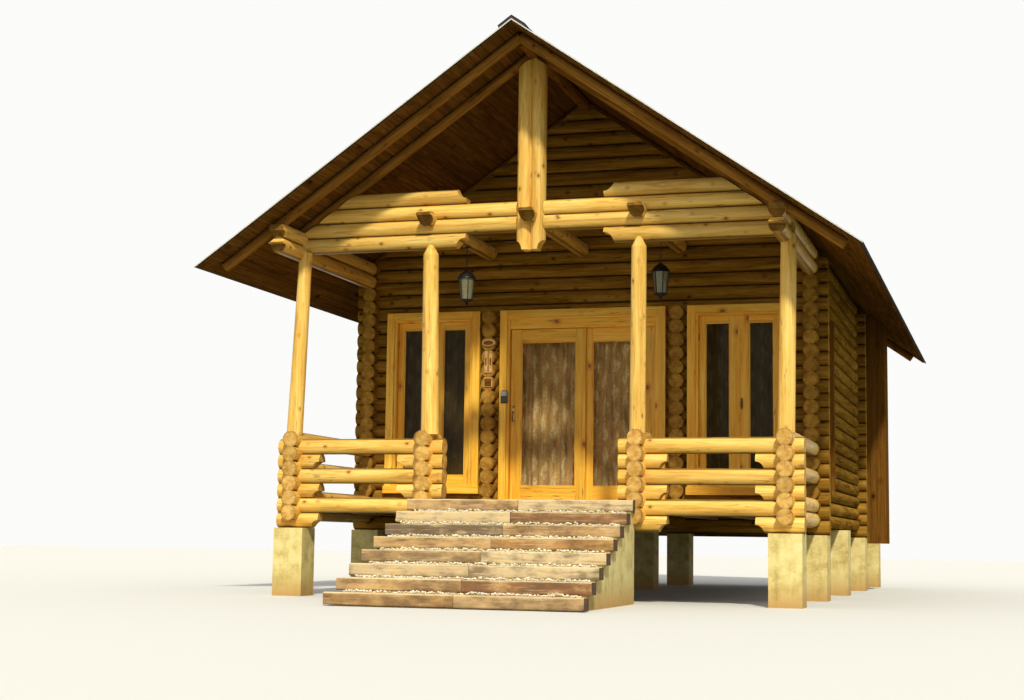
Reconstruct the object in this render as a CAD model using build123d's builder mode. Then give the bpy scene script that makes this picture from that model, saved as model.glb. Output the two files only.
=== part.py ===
import os
from math import atan2, degrees, hypot, sqrt

from build123d import *

os.makedirs("parts", exist_ok=True)

# Log courses
PITCH = 160.0          # height of one course
LOG_R = 88.0           # log radius, so that neighbours share a flat joint
CROSS_Z = 25.0         # centre height of transverse course 0
LONG_Z = 105.0         # centre height of longitudinal course 0, half a pitch higher

# Plan, X to the right, Y away from the viewer, zero at the porch posts
WALL_X = 2700.0        # centreline of both side walls
FRONT_Y = 2230.0       # centreline of the front wall
CROSS_Y = 7000.0       # centreline of the inner cross wall
REAR_Y = 9300.0        # centreline of the rear wall
POST_X = 1170.0        # inner porch posts
END = 95.0             # how far log ends run past a crossing

# Levels above the ground at the foot of the steps
FLOOR_Z = 1060.0
FLOOR_T = 160.0

# Roof, measured on its top surface
RIDGE_Z = 6017.0
SLOPE = 0.6987         # rise over run
EAVE_X = 3560.0
ROOF_FRONT = -920.0
ROOF_REAR = 10200.0
COVER_T = 18.0         # vertical thickness of the shingle covering
EDGE_T = 5.0           # metal edge in front of the covering
BOARD_T = 20.0         # vertical thickness of the boards
BOARD_DROP = COVER_T + BOARD_T
ROOF_SEC = sqrt(1 + SLOPE ** 2)
RAFTER_R = 54.0
TAIL_X, INNER_X = 3360.0, 2690.0       # feet of the two verge rafters, and of those between
RAFTER_Y = (-570.0, 0.0, FRONT_Y, 3820.0, 5410.0, CROSS_Y, 8150.0, REAR_Y, 9850.0)
TIP_Y = 130.0          # how far the top wall logs run past the verge rafters
RIDGE_R = 70.0

# Doorway and windows, halves and levels
DOOR_HALF = 1015.0
DOOR_TOP = 3390.0
STACK_X, STACK_TOP = 1145.0, 20        # log ends beside the doorway, and their last course
WIN_IN = 1270.0
WIN_W = 1200.0
WIN_LOW = 1180.0
CLAMP_Y, CLAMP_Z = (3150.0, 3240.0), (1270.0, 3300.0)   # upright bolted to each side wall
PROUD = 57.0           # how far casings stand in front of the logs
LAP = 40.0             # how far casing boards lap over the logs round an opening
CLEAR = 2.0            # joint between neighbouring pieces
LOW, TOP, HEAD, PEAK = 5, 24, 22, 37   # first, last, over-door and gable course numbers
STUB = 310.0           # length of stub logs in the railings
STACK_BACK = 250.0     # log ends behind the inner posts
RAIL_TIP = 205.0       # rail ends past the inner posts
CROSS_DOOR = 450.0     # half width of the inner doorway

PIER_W = 340.0
PIER_Y = (0.0, FRONT_Y, CROSS_Y, REAR_Y)   # under the crossings
SPAN_PIER_Y = 4600.0

# Steps
RISER = 132.5
GOING = 300.0
STEPS = 8
STEP_X, STEP_HALF, STEP_GROW = -50.0, 1225.0, 5.0   # middle, half length of the top row, growth by row
BASE_X = (-1200.0, 1150.0)
SLEEPER_W, SLEEPER_T = 190.0, 124.0
NOSING = 25.0
ORIGIN_Y = (ROOF_REAR + EDGE_T - GOING * STEPS) / 2    # middle of the whole length
STAIR_BACK = -110.0
MID_PIER_Y = (1150.0, ORIGIN_Y, 5600.0, 8150.0)

# Truss and small parts
RAFTER_LOW = BOARD_DROP + 2 * RAFTER_R * ROOF_SEC   # underside of the rafters below the roof's top
KING_X, KING_Y, KING_R, KING_LOW = -20.0, -15.0, 82.0, 3730.0
COVE_R, STUB_COVE_R, BITE_R = 108.0, 85.0, 65.0
TIE_TIPS = {-1: 745.0, 1: 790.0}
BEAM_TOP, BEAM_TIP_Y = 4152.0, -265.0
TIP_TOP, TIP_LOW, BITE_Z = 4000.0, 3790.0, 3872.0
POST_Y = -50.0
# Each post tapers and may lean: x and radius at its foot, x and radius at its top, height of the top
POST_SHAPES = ((-2707.0, 89.0, -2630.0, 72.0, 3790.0), (-1120.0, 98.0, -1146.0, 84.0, 3715.0),
               (1165.0, 84.0, 1172.0, 80.0, 3715.0), (2702.0, 88.0, 2738.0, 80.0, 3790.0))
SEAT = 40.0            # depth of the flat cut in the log under each post
POINT_H, POINT_R = 135.0, 16.0
CAP_T, CAP_X = 38.0, 150.0
LANTERN_X, LANTERN_Y = 1145.0, 1180.0


def cross_z(n):
    return CROSS_Z + PITCH * n


def long_z(n):
    return LONG_Z + PITCH * n


def logs_x(x0, x1, y, zs, r=LOG_R, mode=Mode.ADD):
    """Logs along X, one above the other."""
    with BuildSketch(Plane.YZ.offset(x0)) as ends:
        with Locations(*[(y, z) for z in zs]):
            Circle(r)
    extrude(ends.sketch, amount=x1 - x0, mode=mode)


def logs_y(y0, y1, x, zs, r=LOG_R, mode=Mode.ADD):
    """Logs along Y, one above the other."""
    with BuildSketch(Plane.XZ.offset(-y1)) as ends:
        with Locations(*[(x, z) for z in zs]):
            Circle(r)
    extrude(ends.sketch, amount=y1 - y0, mode=mode)


def box(x0, x1, y0, y1, z0, z1, mode=Mode.ADD):
    """Plain block between two corners."""
    with BuildSketch(Plane.XY.offset(z0)) as base:
        with Locations(((x0 + x1) / 2, (y0 + y1) / 2)):
            Rectangle(x1 - x0, y1 - y0)
    extrude(base.sketch, amount=z1 - z0, mode=mode)


def roof_prism(drop, y0, y1, height=3000.0, mode=Mode.SUBTRACT):
    """Everything above a pair of slopes that lie `drop` under the roof's top."""
    top = RIDGE_Z - drop
    side = 4200.0
    with BuildSketch(Plane.XZ.offset(-y1)) as above:
        with BuildLine():
            Polyline((-side, top - SLOPE * side), (0, top), (side, top - SLOPE * side),
                     (side, top + height), (-side, top + height), close=True)
        make_face()
    extrude(above.sketch, amount=y1 - y0, mode=mode)


def roof_slab(side, drop, thick, x1, y0, y1, x0=1.0):
    """One slope of the roof as a sheet of even vertical thickness."""
    top = RIDGE_Z - drop
    with BuildSketch(Plane.XZ.offset(-y1)) as slope:
        with BuildLine():
            Polyline((side * x0, top - SLOPE * x0), (side * x1, top - SLOPE * x1),
                     (side * x1, top - SLOPE * x1 - thick), (side * x0, top - SLOPE * x0 - thick),
                     close=True)
        make_face()
    extrude(slope.sketch, amount=y1 - y0)


def rafter(side, y, mode=Mode.ADD):
    """One log rafter from the ridge to its foot, tangent to the boards."""
    foot_x = TAIL_X if y in (RAFTER_Y[0], RAFTER_Y[-1]) else INNER_X
    drop = BOARD_DROP + RAFTER_R * ROOF_SEC
    top = Plane(origin=(0, y, RIDGE_Z - drop), x_dir=(0, 1, 0), z_dir=(side, 0, -SLOPE))
    with BuildSketch(top) as end:
        Circle(RAFTER_R)
    extrude(end.sketch, amount=foot_x * ROOF_SEC, mode=mode)


def round_x(x0, x1, y, z, r, mode=Mode.SUBTRACT):
    """Cylinder along X that cuts a cove."""
    logs_x(x0, x1, y, [z], r=r, mode=mode)


def round_y(x, y0, y1, z, r, mode=Mode.SUBTRACT):
    """Cylinder along Y that cuts a cove."""
    logs_y(y0, y1, x, [z], r=r, mode=mode)


def plate_tip(x, tip, way):
    """Carves the tips of the two top logs of a side wall: flat outside, hollowed between."""
    y0, y1 = sorted((tip, tip - way * (TIP_Y - RAFTER_R - 2)))
    box(x - 200, x + 200, y0, y1, TIP_TOP, TIP_TOP + 200, mode=Mode.SUBTRACT)
    box(x - 200, x + 200, y0, y1, TIP_LOW - 200, TIP_LOW, mode=Mode.SUBTRACT)
    round_x(x - 200, x + 200, tip, BITE_Z, BITE_R)


def post_seat(x, r, z):
    """Flat cut in the top of a log, as long as the post that stands on it is wide."""
    box(x - 150, x + 150, POST_Y - r - CLEAR, POST_Y + r + CLEAR, z, z + 200, mode=Mode.SUBTRACT)


def save(part, name):
    """Labels one piece and exports it, moved so that the whole object is centred on the origin."""
    part = part.moved(Location((0, -ORIGIN_Y, 0)))
    part.label = name
    export_step(part, f"parts/{name}.step")


# Piers in three rows: under both side walls and the middle of the floors
with BuildPart() as piers:
    with BuildSketch():
        with Locations(*[(x, y) for x in (-WALL_X, WALL_X) for y in PIER_Y]):
            Rectangle(PIER_W, PIER_W)
    extrude(amount=cross_z(LOW) - LOG_R)
    with BuildSketch():
        with Locations((-WALL_X, SPAN_PIER_Y), (WALL_X, SPAN_PIER_Y)):
            Rectangle(PIER_W, PIER_W)
    extrude(amount=long_z(LOW) - LOG_R)
    with BuildSketch():
        with Locations(*[(0, y) for y in MID_PIER_Y]):
            Rectangle(PIER_W, PIER_W)
    extrude(amount=FLOOR_Z - FLOOR_T)
save(piers.part, "piers")

# Stair: a stepped concrete body and the sleepers on it
step_y = [-GOING * (k + 1) for k in range(STEPS)]
step_z = [FLOOR_Z - RISER * k for k in range(STEPS)]
with BuildPart() as stair_base:
    profile = [(STAIR_BACK, 0.0)]
    for k in reversed(range(STEPS)):
        front, back = step_y[k] + NOSING, step_y[k] + SLEEPER_W
        profile += [(front, 0.0)] if k == STEPS - 1 else []
        profile += [(front, step_z[k] - SLEEPER_T), (back, step_z[k] - SLEEPER_T)]
        if k:
            profile += [(back, step_z[k] - 8), (step_y[k - 1] + NOSING, step_z[k] - 8)]
    with BuildSketch(Plane.YZ.offset(BASE_X[0])):
        with BuildLine():
            Polyline(*profile, close=True)
        make_face()
    extrude(amount=BASE_X[1] - BASE_X[0])
save(stair_base.part, "stair_base")

with BuildPart() as sleepers:
    for k in range(STEPS):
        half = STEP_HALF + STEP_GROW * k
        box(STEP_X - half, STEP_X + half, step_y[k], step_y[k] + SLEEPER_W, step_z[k] - SLEEPER_T, step_z[k])
    chamfer(sleepers.edges().filter_by(Axis.X), 8)
save(sleepers.part, "sleepers")

# Side walls, and the two top logs that run on over the porch on each side
courses = range(LOW, TOP + 1)
top_logs = [long_z(TOP - 1), long_z(TOP)]
wall_tip = FRONT_Y - LOG_R - END
side_walls = {}
for side, name in ((-1, "wall_side_left"), (1, "wall_side_right")):
    x = side * WALL_X
    with BuildPart() as wall:
        logs_y(wall_tip, REAR_Y + LOG_R + END, x, [long_z(n) for n in courses])
        logs_y(REAR_Y, RAFTER_Y[-1] + TIP_Y, x, top_logs)
        plate_tip(x, RAFTER_Y[-1] + TIP_Y, 1)
    side_walls[side] = wall.part
    save(wall.part, name)

with BuildPart() as porch_plates:
    for side in (-1, 1):
        logs_y(RAFTER_Y[0] - TIP_Y, wall_tip, side * WALL_X, top_logs)
        plate_tip(side * WALL_X, RAFTER_Y[0] - TIP_Y, -1)
save(porch_plates.part, "porch_plates")

# Floors
with BuildPart() as house_floor:
    inner = WALL_X - LOG_R - CLEAR
    box(-inner, inner, FRONT_Y + LOG_R + CLEAR, REAR_Y - LOG_R - CLEAR, FLOOR_Z - FLOOR_T, FLOOR_Z)
save(house_floor.part, "house_floor")

# Railings: full courses, hollowed underneath, alternate with coved stubs beside the posts
rail_cross = [cross_z(n) for n in range(LOW, LOW + 6)]
rail_long = [long_z(n) for n in range(LOW, LOW + 6)]
seat_z = rail_long[-1] + LOG_R - SEAT
rail_sides, rail_fronts = {}, {}
for side, name in ((-1, "rail_side_left"), (1, "rail_side_right")):
    x = side * WALL_X
    with BuildPart() as stubs:
        logs_y(-LOG_R - END, STUB, x, [rail_long[i] for i in (2, 4)])
        for i in (2, 4):
            round_x(x - 200, x + 200, STUB, rail_long[i] - LOG_R, STUB_COVE_R)
    with BuildPart() as rail:
        for i in (5, 3):
            logs_y(-LOG_R - END, wall_tip, x, [rail_long[i]])
            logs_y(STUB, wall_tip, x, [rail_long[i - 1]], mode=Mode.SUBTRACT)
        logs_y(-LOG_R - END, wall_tip, x, rail_long[:2])
        add(stubs.part)
        post_x, post_r = POST_SHAPES[(side + 1) // 2 * 3][:2]
        post_seat(post_x, post_r, seat_z)
    rail_sides[side] = rail.part
    save(rail.part, name)

for side, name in ((-1, "rail_front_left"), (1, "rail_front_right")):
    inner_tip, outer_tip = side * (POST_X - RAIL_TIP), side * (WALL_X + LOG_R + END)
    inner_stub, outer_stub = side * (POST_X + STUB), side * (WALL_X - STUB)
    with BuildPart() as stubs:
        for tip, end in ((inner_tip, inner_stub), (outer_tip, outer_stub)):
            for i in (0, 2, 4):
                logs_x(min(tip, end), max(tip, end), 0, [rail_cross[i]])
        for end in (inner_stub, outer_stub):
            for i in (0, 2, 4):
                round_y(end, -200, 200, rail_cross[i] - LOG_R, STUB_COVE_R)
    with BuildPart() as rail:
        for i in (5, 3, 1):
            a, b = sorted((inner_tip, outer_tip))
            logs_x(a, b, 0, [rail_cross[i]])
            a, b = sorted((inner_stub, outer_stub))
            logs_x(a, b, 0, [rail_cross[i - 1]], mode=Mode.SUBTRACT)
        add(stubs.part)
        logs_y(-LOG_R - END, STACK_BACK, side * POST_X, rail_long)
        add(rail_sides[side], mode=Mode.SUBTRACT)
        add(sleepers.part, mode=Mode.SUBTRACT)
        add(stair_base.part, mode=Mode.SUBTRACT)
        post_x, post_r = POST_SHAPES[(side + 3) // 2][:2]
        post_seat(post_x, post_r, seat_z)
    rail_fronts[side] = rail.part
    save(rail.part, name)

with BuildPart() as porch_deck:
    box(-inner, inner, LOG_R + CLEAR, FRONT_Y - LOG_R - CLEAR, FLOOR_Z - FLOOR_T, FLOOR_Z)
    box(-POST_X + RAIL_TIP + CLEAR, POST_X - RAIL_TIP - CLEAR, STAIR_BACK + CLEAR, 200, FLOOR_Z - FLOOR_T, FLOOR_Z)
    for side in (-1, 1):
        add(rail_fronts[side], mode=Mode.SUBTRACT)
save(porch_deck.part, "porch_deck")

with BuildPart() as porch_sill:
    logs_x(-POST_X + RAIL_TIP + CLEAR, POST_X - RAIL_TIP - CLEAR, 0, [cross_z(LOW)])
    add(porch_deck.part, mode=Mode.SUBTRACT)
save(porch_sill.part, "porch_sill")

# Ridge log, which the gables and the rafters are cut round
with BuildPart() as ridge_beam:
    z = RIDGE_Z - BOARD_DROP - (RIDGE_R + 1) * ROOF_SEC
    logs_y(RAFTER_Y[0] + RAFTER_R + CLEAR, RAFTER_Y[-1] - RAFTER_R - CLEAR, 0, [z], r=RIDGE_R)
save(ridge_beam.part, "ridge_beam")

# Front wall: a stretch on each side of the doorway and the head with the gable
reach = WALL_X + LOG_R + END + 5
for side, name in ((-1, "wall_front_left"), (1, "wall_front_right")):
    a, b = sorted((side * DOOR_HALF, side * reach))
    with BuildPart() as wall:
        logs_x(a, b, FRONT_Y, [cross_z(n) for n in range(LOW, HEAD)])
        box(a, b, FRONT_Y - 200, FRONT_Y + 200, cross_z(HEAD) - PITCH / 2, cross_z(HEAD) + 200, mode=Mode.SUBTRACT)
        a, b = sorted((side * (WIN_IN + LAP), side * (WIN_IN + WIN_W - LAP)))
        box(a, b, FRONT_Y - 200, FRONT_Y + 200, WIN_LOW + LAP, DOOR_TOP - LAP, mode=Mode.SUBTRACT)
        logs_y(FRONT_Y - LOG_R - END, FRONT_Y + LOG_R + END, side * STACK_X,
               [long_z(n) for n in range(LOW, STACK_TOP + 1)])
        add(side_walls[side], mode=Mode.SUBTRACT)
        add(porch_deck.part, mode=Mode.SUBTRACT)
        add(house_floor.part, mode=Mode.SUBTRACT)
    save(wall.part, name)


gable_drop = BOARD_DROP + RAFTER_R * ROOF_SEC
with BuildPart() as wall_front_head:
    logs_x(-reach, reach, FRONT_Y, [cross_z(n) for n in range(HEAD - 1, PEAK)])
    low = cross_z(HEAD) - PITCH / 2
    for a, b, top in ((-reach, -DOOR_HALF, low), (DOOR_HALF, reach, low), (-DOOR_HALF, DOOR_HALF, DOOR_TOP)):
        box(a, b, FRONT_Y - 200, FRONT_Y + 200, low - 500, top, mode=Mode.SUBTRACT)
    roof_prism(gable_drop, FRONT_Y - 200, FRONT_Y + 200)
    for side in (-1, 1):
        add(side_walls[side], mode=Mode.SUBTRACT)
        rafter(side, FRONT_Y, mode=Mode.SUBTRACT)
    add(ridge_beam.part, mode=Mode.SUBTRACT)
save(wall_front_head.part, "wall_front_head")

with BuildPart() as wall_rear:
    logs_x(-reach, reach, REAR_Y, [cross_z(n) for n in range(LOW, PEAK)])
    roof_prism(gable_drop, REAR_Y - 200, REAR_Y + 200)
    for side in (-1, 1):
        add(side_walls[side], mode=Mode.SUBTRACT)
        rafter(side, REAR_Y, mode=Mode.SUBTRACT)
    add(ridge_beam.part, mode=Mode.SUBTRACT)
save(wall_rear.part, "wall_rear")

# Cross wall with an open doorway, in three pieces
with BuildPart() as wall_cross:
    lower = [cross_z(n) for n in range(LOW, HEAD - 1)]
    for side in (-1, 1):
        a, b = sorted((side * CROSS_DOOR, side * reach))
        logs_x(a, b, CROSS_Y, lower)
    box(-reach, reach, CROSS_Y - 200, CROSS_Y + 200, cross_z(HEAD - 1) - PITCH / 2, 4000, mode=Mode.SUBTRACT)
    for side in (-1, 1):
        add(side_walls[side], mode=Mode.SUBTRACT)
    add(house_floor.part, mode=Mode.SUBTRACT)
with BuildPart() as cross_head:
    logs_x(-reach, reach, CROSS_Y, [cross_z(n) for n in range(HEAD - 1, PEAK)])
    box(-reach, reach, CROSS_Y - 200, CROSS_Y + 200, 3000, cross_z(HEAD - 1) - PITCH / 2 + CLEAR, mode=Mode.SUBTRACT)
    roof_prism(gable_drop, CROSS_Y - 200, CROSS_Y + 200)
    for side in (-1, 1):
        add(side_walls[side], mode=Mode.SUBTRACT)
        rafter(side, CROSS_Y, mode=Mode.SUBTRACT)
    add(ridge_beam.part, mode=Mode.SUBTRACT)
save(wall_cross.part, "wall_cross")
save(cross_head.part, "wall_cross_head")

# Rafters, cut at the ridge and round the wall logs that they cross
for side, name in ((-1, "rafters_left"), (1, "rafters_right")):
    with BuildPart() as rafters:
        for y in RAFTER_Y:
            rafter(side, y)
        a, b = sorted((side * CLEAR / 2, -side * 300))
        box(a, b, -1000, 10000, 5000, 6100, mode=Mode.SUBTRACT)
        add(ridge_beam.part, mode=Mode.SUBTRACT)
        add(side_walls[side], mode=Mode.SUBTRACT)
        add(porch_plates.part, mode=Mode.SUBTRACT)
    save(rafters.part, name)

# Porch beams: longitudinal logs through the truss, cut flat over their tips and coved below
BEAM_Z = long_z(25)
with BuildPart() as porch_beams:
    for x in (-POST_X, KING_X, POST_X):
        logs_y(BEAM_TIP_Y, FRONT_Y - LOG_R - CLEAR, x, [BEAM_Z])
    box(-POST_X - 200, POST_X + 200, BEAM_TIP_Y, -LOG_R - 4, BEAM_TOP, BEAM_TOP + 200, mode=Mode.SUBTRACT)
    round_x(-POST_X - 200, POST_X + 200, BEAM_TIP_Y, BEAM_Z - LOG_R, COVE_R)
save(porch_beams.part, "porch_beams")

# Truss in the plane of the posts, with twin hanging posts in the middle
with BuildPart() as king_post:
    with BuildSketch(Plane.XY.offset(KING_LOW)):
        with Locations((KING_X - KING_R + 4, KING_Y), (KING_X + KING_R - 4, KING_Y)):
            Circle(KING_R)
    extrude(amount=RIDGE_Z - KING_LOW)
    roof_prism(RAFTER_LOW, -200, 200)
    for x in (KING_X - 195, KING_X + 195):
        round_y(x, -200, 200, KING_LOW, COVE_R)
    add(porch_beams.part, mode=Mode.SUBTRACT)
    add(ridge_beam.part, mode=Mode.SUBTRACT)
save(king_post.part, "king_post")

# Posts stand a little forward of the ties, and the inner two end in a point in front of the lowest one
with BuildPart() as posts:
    foot = seat_z - 10
    for x0, r0, x1, r1, top in POST_SHAPES:
        lean = degrees(atan2(x1 - x0, top - foot))
        run = hypot(x1 - x0, top - foot)
        with Locations(Location((x0, POST_Y, foot), (0, lean, 90))):
            Cone(r0, r1, run, align=(Align.CENTER, Align.CENTER, Align.MIN))
        if abs(x0) < POST_X + 100:
            with Locations(Location((x1, POST_Y, top), (0, lean, 90))):
                Cone(r1, POINT_R, POINT_H, align=(Align.CENTER, Align.CENTER, Align.MIN))
    box(-3000, 3000, -500, 500, seat_z - 200, seat_z, mode=Mode.SUBTRACT)
    add(porch_plates.part, mode=Mode.SUBTRACT)
save(posts.part, "posts")

# Tie courses: the lowest is coved under its inner tip, the highest over it
for side, name in ((-1, "truss_left"), (1, "truss_right")):
    tip, butt = side * TIE_TIPS[side], KING_X + side * 2 * KING_R - side * 14
    with BuildPart() as truss:
        for n, start in ((24, tip), (27, tip)):
            a, b = sorted((start, side * (WALL_X + LOG_R)))
            logs_x(a, b, 0, [cross_z(n)])
        round_y(tip, -200, 200, cross_z(24) - LOG_R, COVE_R)
        round_y(tip, -200, 200, cross_z(27) + LOG_R, COVE_R)
        a, b = sorted((butt, side * (WALL_X + LOG_R)))
        logs_x(a, b, 0, [cross_z(25), cross_z(26)])
        roof_prism(RAFTER_LOW, -200, 200)
        add(king_post.part, mode=Mode.SUBTRACT)
        add(porch_beams.part, mode=Mode.SUBTRACT)
        add(porch_plates.part, mode=Mode.SUBTRACT)
        add(posts.part, mode=Mode.SUBTRACT)
    save(truss.part, name)


# Roof: boards under a shingle covering, ridge cap and metal edge
for side, hand in ((-1, "left"), (1, "right")):
    with BuildPart() as boards:
        roof_slab(side, COVER_T, BOARD_T, EAVE_X - 25, ROOF_FRONT + 20, ROOF_REAR - 20)
    save(boards.part, f"roof_boards_{hand}")
    with BuildPart() as cover:
        roof_slab(side, 0, COVER_T, EAVE_X, ROOF_FRONT, ROOF_REAR)
    save(cover.part, f"roof_cover_{hand}")

with BuildPart() as ridge_cap:
    for side in (-1, 1):
        roof_slab(side, -CAP_T, CAP_T, CAP_X, ROOF_FRONT, ROOF_REAR, x0=0)
save(ridge_cap.part, "ridge_cap")

with BuildPart() as drip_edge:
    for side in (-1, 1):
        roof_slab(side, 3, 15, EAVE_X, ROOF_FRONT - EDGE_T, ROOF_FRONT)
        roof_slab(side, 3, 15, EAVE_X, ROOF_REAR, ROOF_REAR + EDGE_T)
save(drip_edge.part, "drip_edge")

# Doorway: a lined frame, a leaf that slides in front and a fixed leaf behind it
FRAME_Y = (FRONT_Y - LOG_R - PROUD, FRONT_Y + LOG_R)
LEAF_LOW, LEAF_TOP = FLOOR_Z + 15, 3165.0
LEAF_IN = 893.0
LEAF_GAP, RUN_GAP = 6.0, 0.3      # round the sliding leaf, and over the rail that it runs on
LEAF_T, GLASS_LOW, GLASS_TOP = 40.0, 1275.0, 3004.0
SLIDE_Y, FIXED_Y = 2150.0, 2200.0
with BuildPart() as door_frame:
    box(-DOOR_HALF, DOOR_HALF, *FRAME_Y, FLOOR_Z, DOOR_TOP)
    box(-LEAF_IN, LEAF_IN, FRAME_Y[0] - 10, FRAME_Y[1] + 10, LEAF_LOW, LEAF_TOP, mode=Mode.SUBTRACT)
    box(-LEAF_IN, LEAF_IN, SLIDE_Y + 15, SLIDE_Y + 25, LEAF_LOW, LEAF_LOW + LEAF_GAP - RUN_GAP)
save(door_frame.part, "door_frame")


def leaf(x0, x1, y0, z0, z1, g0, g1, mode=Mode.ADD):
    """A stile-and-rail leaf with one large opening from g0 to g1."""
    box(x0, x1, y0, y0 + LEAF_T, z0, z1, mode=mode)
    box(g0, g1, y0 - 10, y0 + LEAF_T + 10, GLASS_LOW, GLASS_TOP, mode=Mode.SUBTRACT)


with BuildPart() as door_glass:
    box(-762, -75, SLIDE_Y + 17, SLIDE_Y + 23, GLASS_LOW - 5, GLASS_TOP + 5)
with BuildPart() as door_leaf:
    leaf(-LEAF_IN + LEAF_GAP, 40, SLIDE_Y, LEAF_LOW + LEAF_GAP, LEAF_TOP - LEAF_GAP, -757, -80)
    add(door_glass.part, mode=Mode.SUBTRACT)
with BuildPart() as door_pull:
    box(-862, -832, SLIDE_Y - 8, SLIDE_Y, 2010, 2270)
    box(-855, -839, SLIDE_Y - 45, SLIDE_Y - 8, 2040, 2060)
    box(-855, -839, SLIDE_Y - 45, SLIDE_Y - 8, 2220, 2240)
    box(-855, -839, SLIDE_Y - 58, SLIDE_Y - 45, 2030, 2250)
with BuildPart() as door_fixed_glass:
    box(107, 762, FIXED_Y + 17, FIXED_Y + 23, GLASS_LOW - 5, GLASS_TOP + 5)
with BuildPart() as door_fixed_leaf:
    leaf(-40, LEAF_IN, FIXED_Y, LEAF_LOW, LEAF_TOP, 112, 757)
    add(door_fixed_glass.part, mode=Mode.SUBTRACT)
for piece, name in ((door_leaf, "door_leaf"), (door_glass, "door_glass"), (door_pull, "door_pull"),
                    (door_fixed_leaf, "door_fixed_leaf"), (door_fixed_glass, "door_fixed_glass")):
    save(piece.part, name)

# Window drawn once about its own middle, the logs' centreline at y = 0
half, sill, top = WIN_W / 2, WIN_LOW, DOOR_TOP
PANES = ((-400.0, -110.0), (110.0, 400.0))
PANE_LOW, PANE_TOP = 1400.0, 3190.0
with BuildPart() as panes:
    for a, b in PANES:
        box(a - 5, b + 5, -43, -37, PANE_LOW - 5, PANE_TOP + 5)
with BuildPart() as window:
    box(-half, half, -LOG_R - PROUD, -LOG_R, sill, top)
    box(-half + LAP, half - LAP, -LOG_R, LOG_R, sill + LAP, top - LAP)
    box(-half + 90, half - 90, -LOG_R - PROUD - 10, -60, sill + 170, top - 90, mode=Mode.SUBTRACT)
    box(-half + 90, half - 90, -20, LOG_R + 10, sill + 90, top - 90, mode=Mode.SUBTRACT)
    for a, b in PANES:
        box(a, b, -70, 0, PANE_LOW, PANE_TOP, mode=Mode.SUBTRACT)
    add(panes.part, mode=Mode.SUBTRACT)
middle = WIN_IN + half
places = {"window_front_left": Pos(-middle, FRONT_Y), "window_front_right": Pos(middle, FRONT_Y)}
for name, place in places.items():
    save(place * window.part, name)
    save(place * panes.part, name.replace("window", "glass"))

# Closet on the right wall, lanterns and small fittings
with BuildPart() as duct_closet:
    box(WALL_X, WALL_X + 420, 7375, 7975, 660, 4200)
    roof_prism(BOARD_DROP + 1, 7300, 8050)
    add(side_walls[1], mode=Mode.SUBTRACT)
outer = duct_closet.part.solids().sort_by(SortBy.VOLUME)[-1]
save(outer, "duct_closet")

with BuildPart() as wall_clamps:
    for side in (-1, 1):
        a, b = sorted((side * (WALL_X + 60), side * (WALL_X + LOG_R + PROUD)))
        box(a, b, *CLAMP_Y, *CLAMP_Z)
        add(side_walls[side], mode=Mode.SUBTRACT)
save(wall_clamps.part, "wall_clamps")

GLASS_Z, GLASS_R = (3400.0, 3640.0), (66.0, 89.0)
BARS = 6
with BuildPart() as lanterns:
    low, high = GLASS_Z
    with BuildSketch(Plane.XY.offset(high + 90)):
        with Locations((-LANTERN_X, LANTERN_Y), (LANTERN_X, LANTERN_Y)):
            Circle(6)
    extrude(amount=BEAM_Z - high - 90)
    for x in (-LANTERN_X, LANTERN_X):
        with BuildSketch(Plane(origin=(x, LANTERN_Y, 0), x_dir=(1, 0, 0), z_dir=(0, -1, 0))):
            with BuildLine():
                Polyline((0, high), (112, high), (112, high + 10), (70, high + 62), (18, high + 110),
                         (0, high + 110), close=True)
                Polyline((0, low), (80, low), (80, low - 10), (30, low - 38), (10, low - 84), (0, low - 84), close=True)
            make_face()
        revolve(axis=Axis((x, LANTERN_Y, 0), (0, 0, 1)))
        for k in range(BARS):
            out = Vector(1, 0, 0).rotate(Axis.Z, 360 * k / BARS)
            across = Vector(0, -1, 0).rotate(Axis.Z, 360 * k / BARS)
            with BuildSketch(Plane(origin=(x, LANTERN_Y, 0), x_dir=out, z_dir=across)):
                with BuildLine():
                    Polyline((GLASS_R[0], low - 1), (GLASS_R[0] + 9, low - 1), (GLASS_R[1] + 9, high + 1),
                             (GLASS_R[1], high + 1), close=True)
                make_face()
            extrude(amount=4, both=True)
    add(porch_beams.part, mode=Mode.SUBTRACT)
with BuildPart() as lantern_glass:
    for x in (-LANTERN_X, LANTERN_X):
        with Locations((x, LANTERN_Y, (low + high) / 2)):
            Cone(GLASS_R[0], GLASS_R[1], high - low)
    add(lanterns.part, mode=Mode.SUBTRACT)
save(lanterns.part, "lanterns")
save(lantern_glass.part, "lantern_glass")

with BuildPart() as card_reader:
    box(-990, -905, FRAME_Y[0] - 35, FRAME_Y[0], 2268, 2418)
save(card_reader.part, "card_reader")

with BuildPart() as curtain_rail:
    box(-2500, 2500, FRONT_Y + LOG_R, FRONT_Y + LOG_R + 60, cross_z(HEAD) - 15, cross_z(HEAD) + 15)
save(curtain_rail.part, "curtain_rail")
with BuildPart() as curtains:
    y = FRONT_Y + LOG_R + 30
    for a, b in ((-2380, -1370), (-850, -30), (30, 850), (1370, 2380)):
        box(a, b, y, y + 8, FLOOR_Z + 30, cross_z(HEAD) - 15)
save(curtains.part, "curtains")
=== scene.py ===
import math
import random
import bmesh
import bpy
from mathutils import Matrix, Vector, noise


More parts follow.
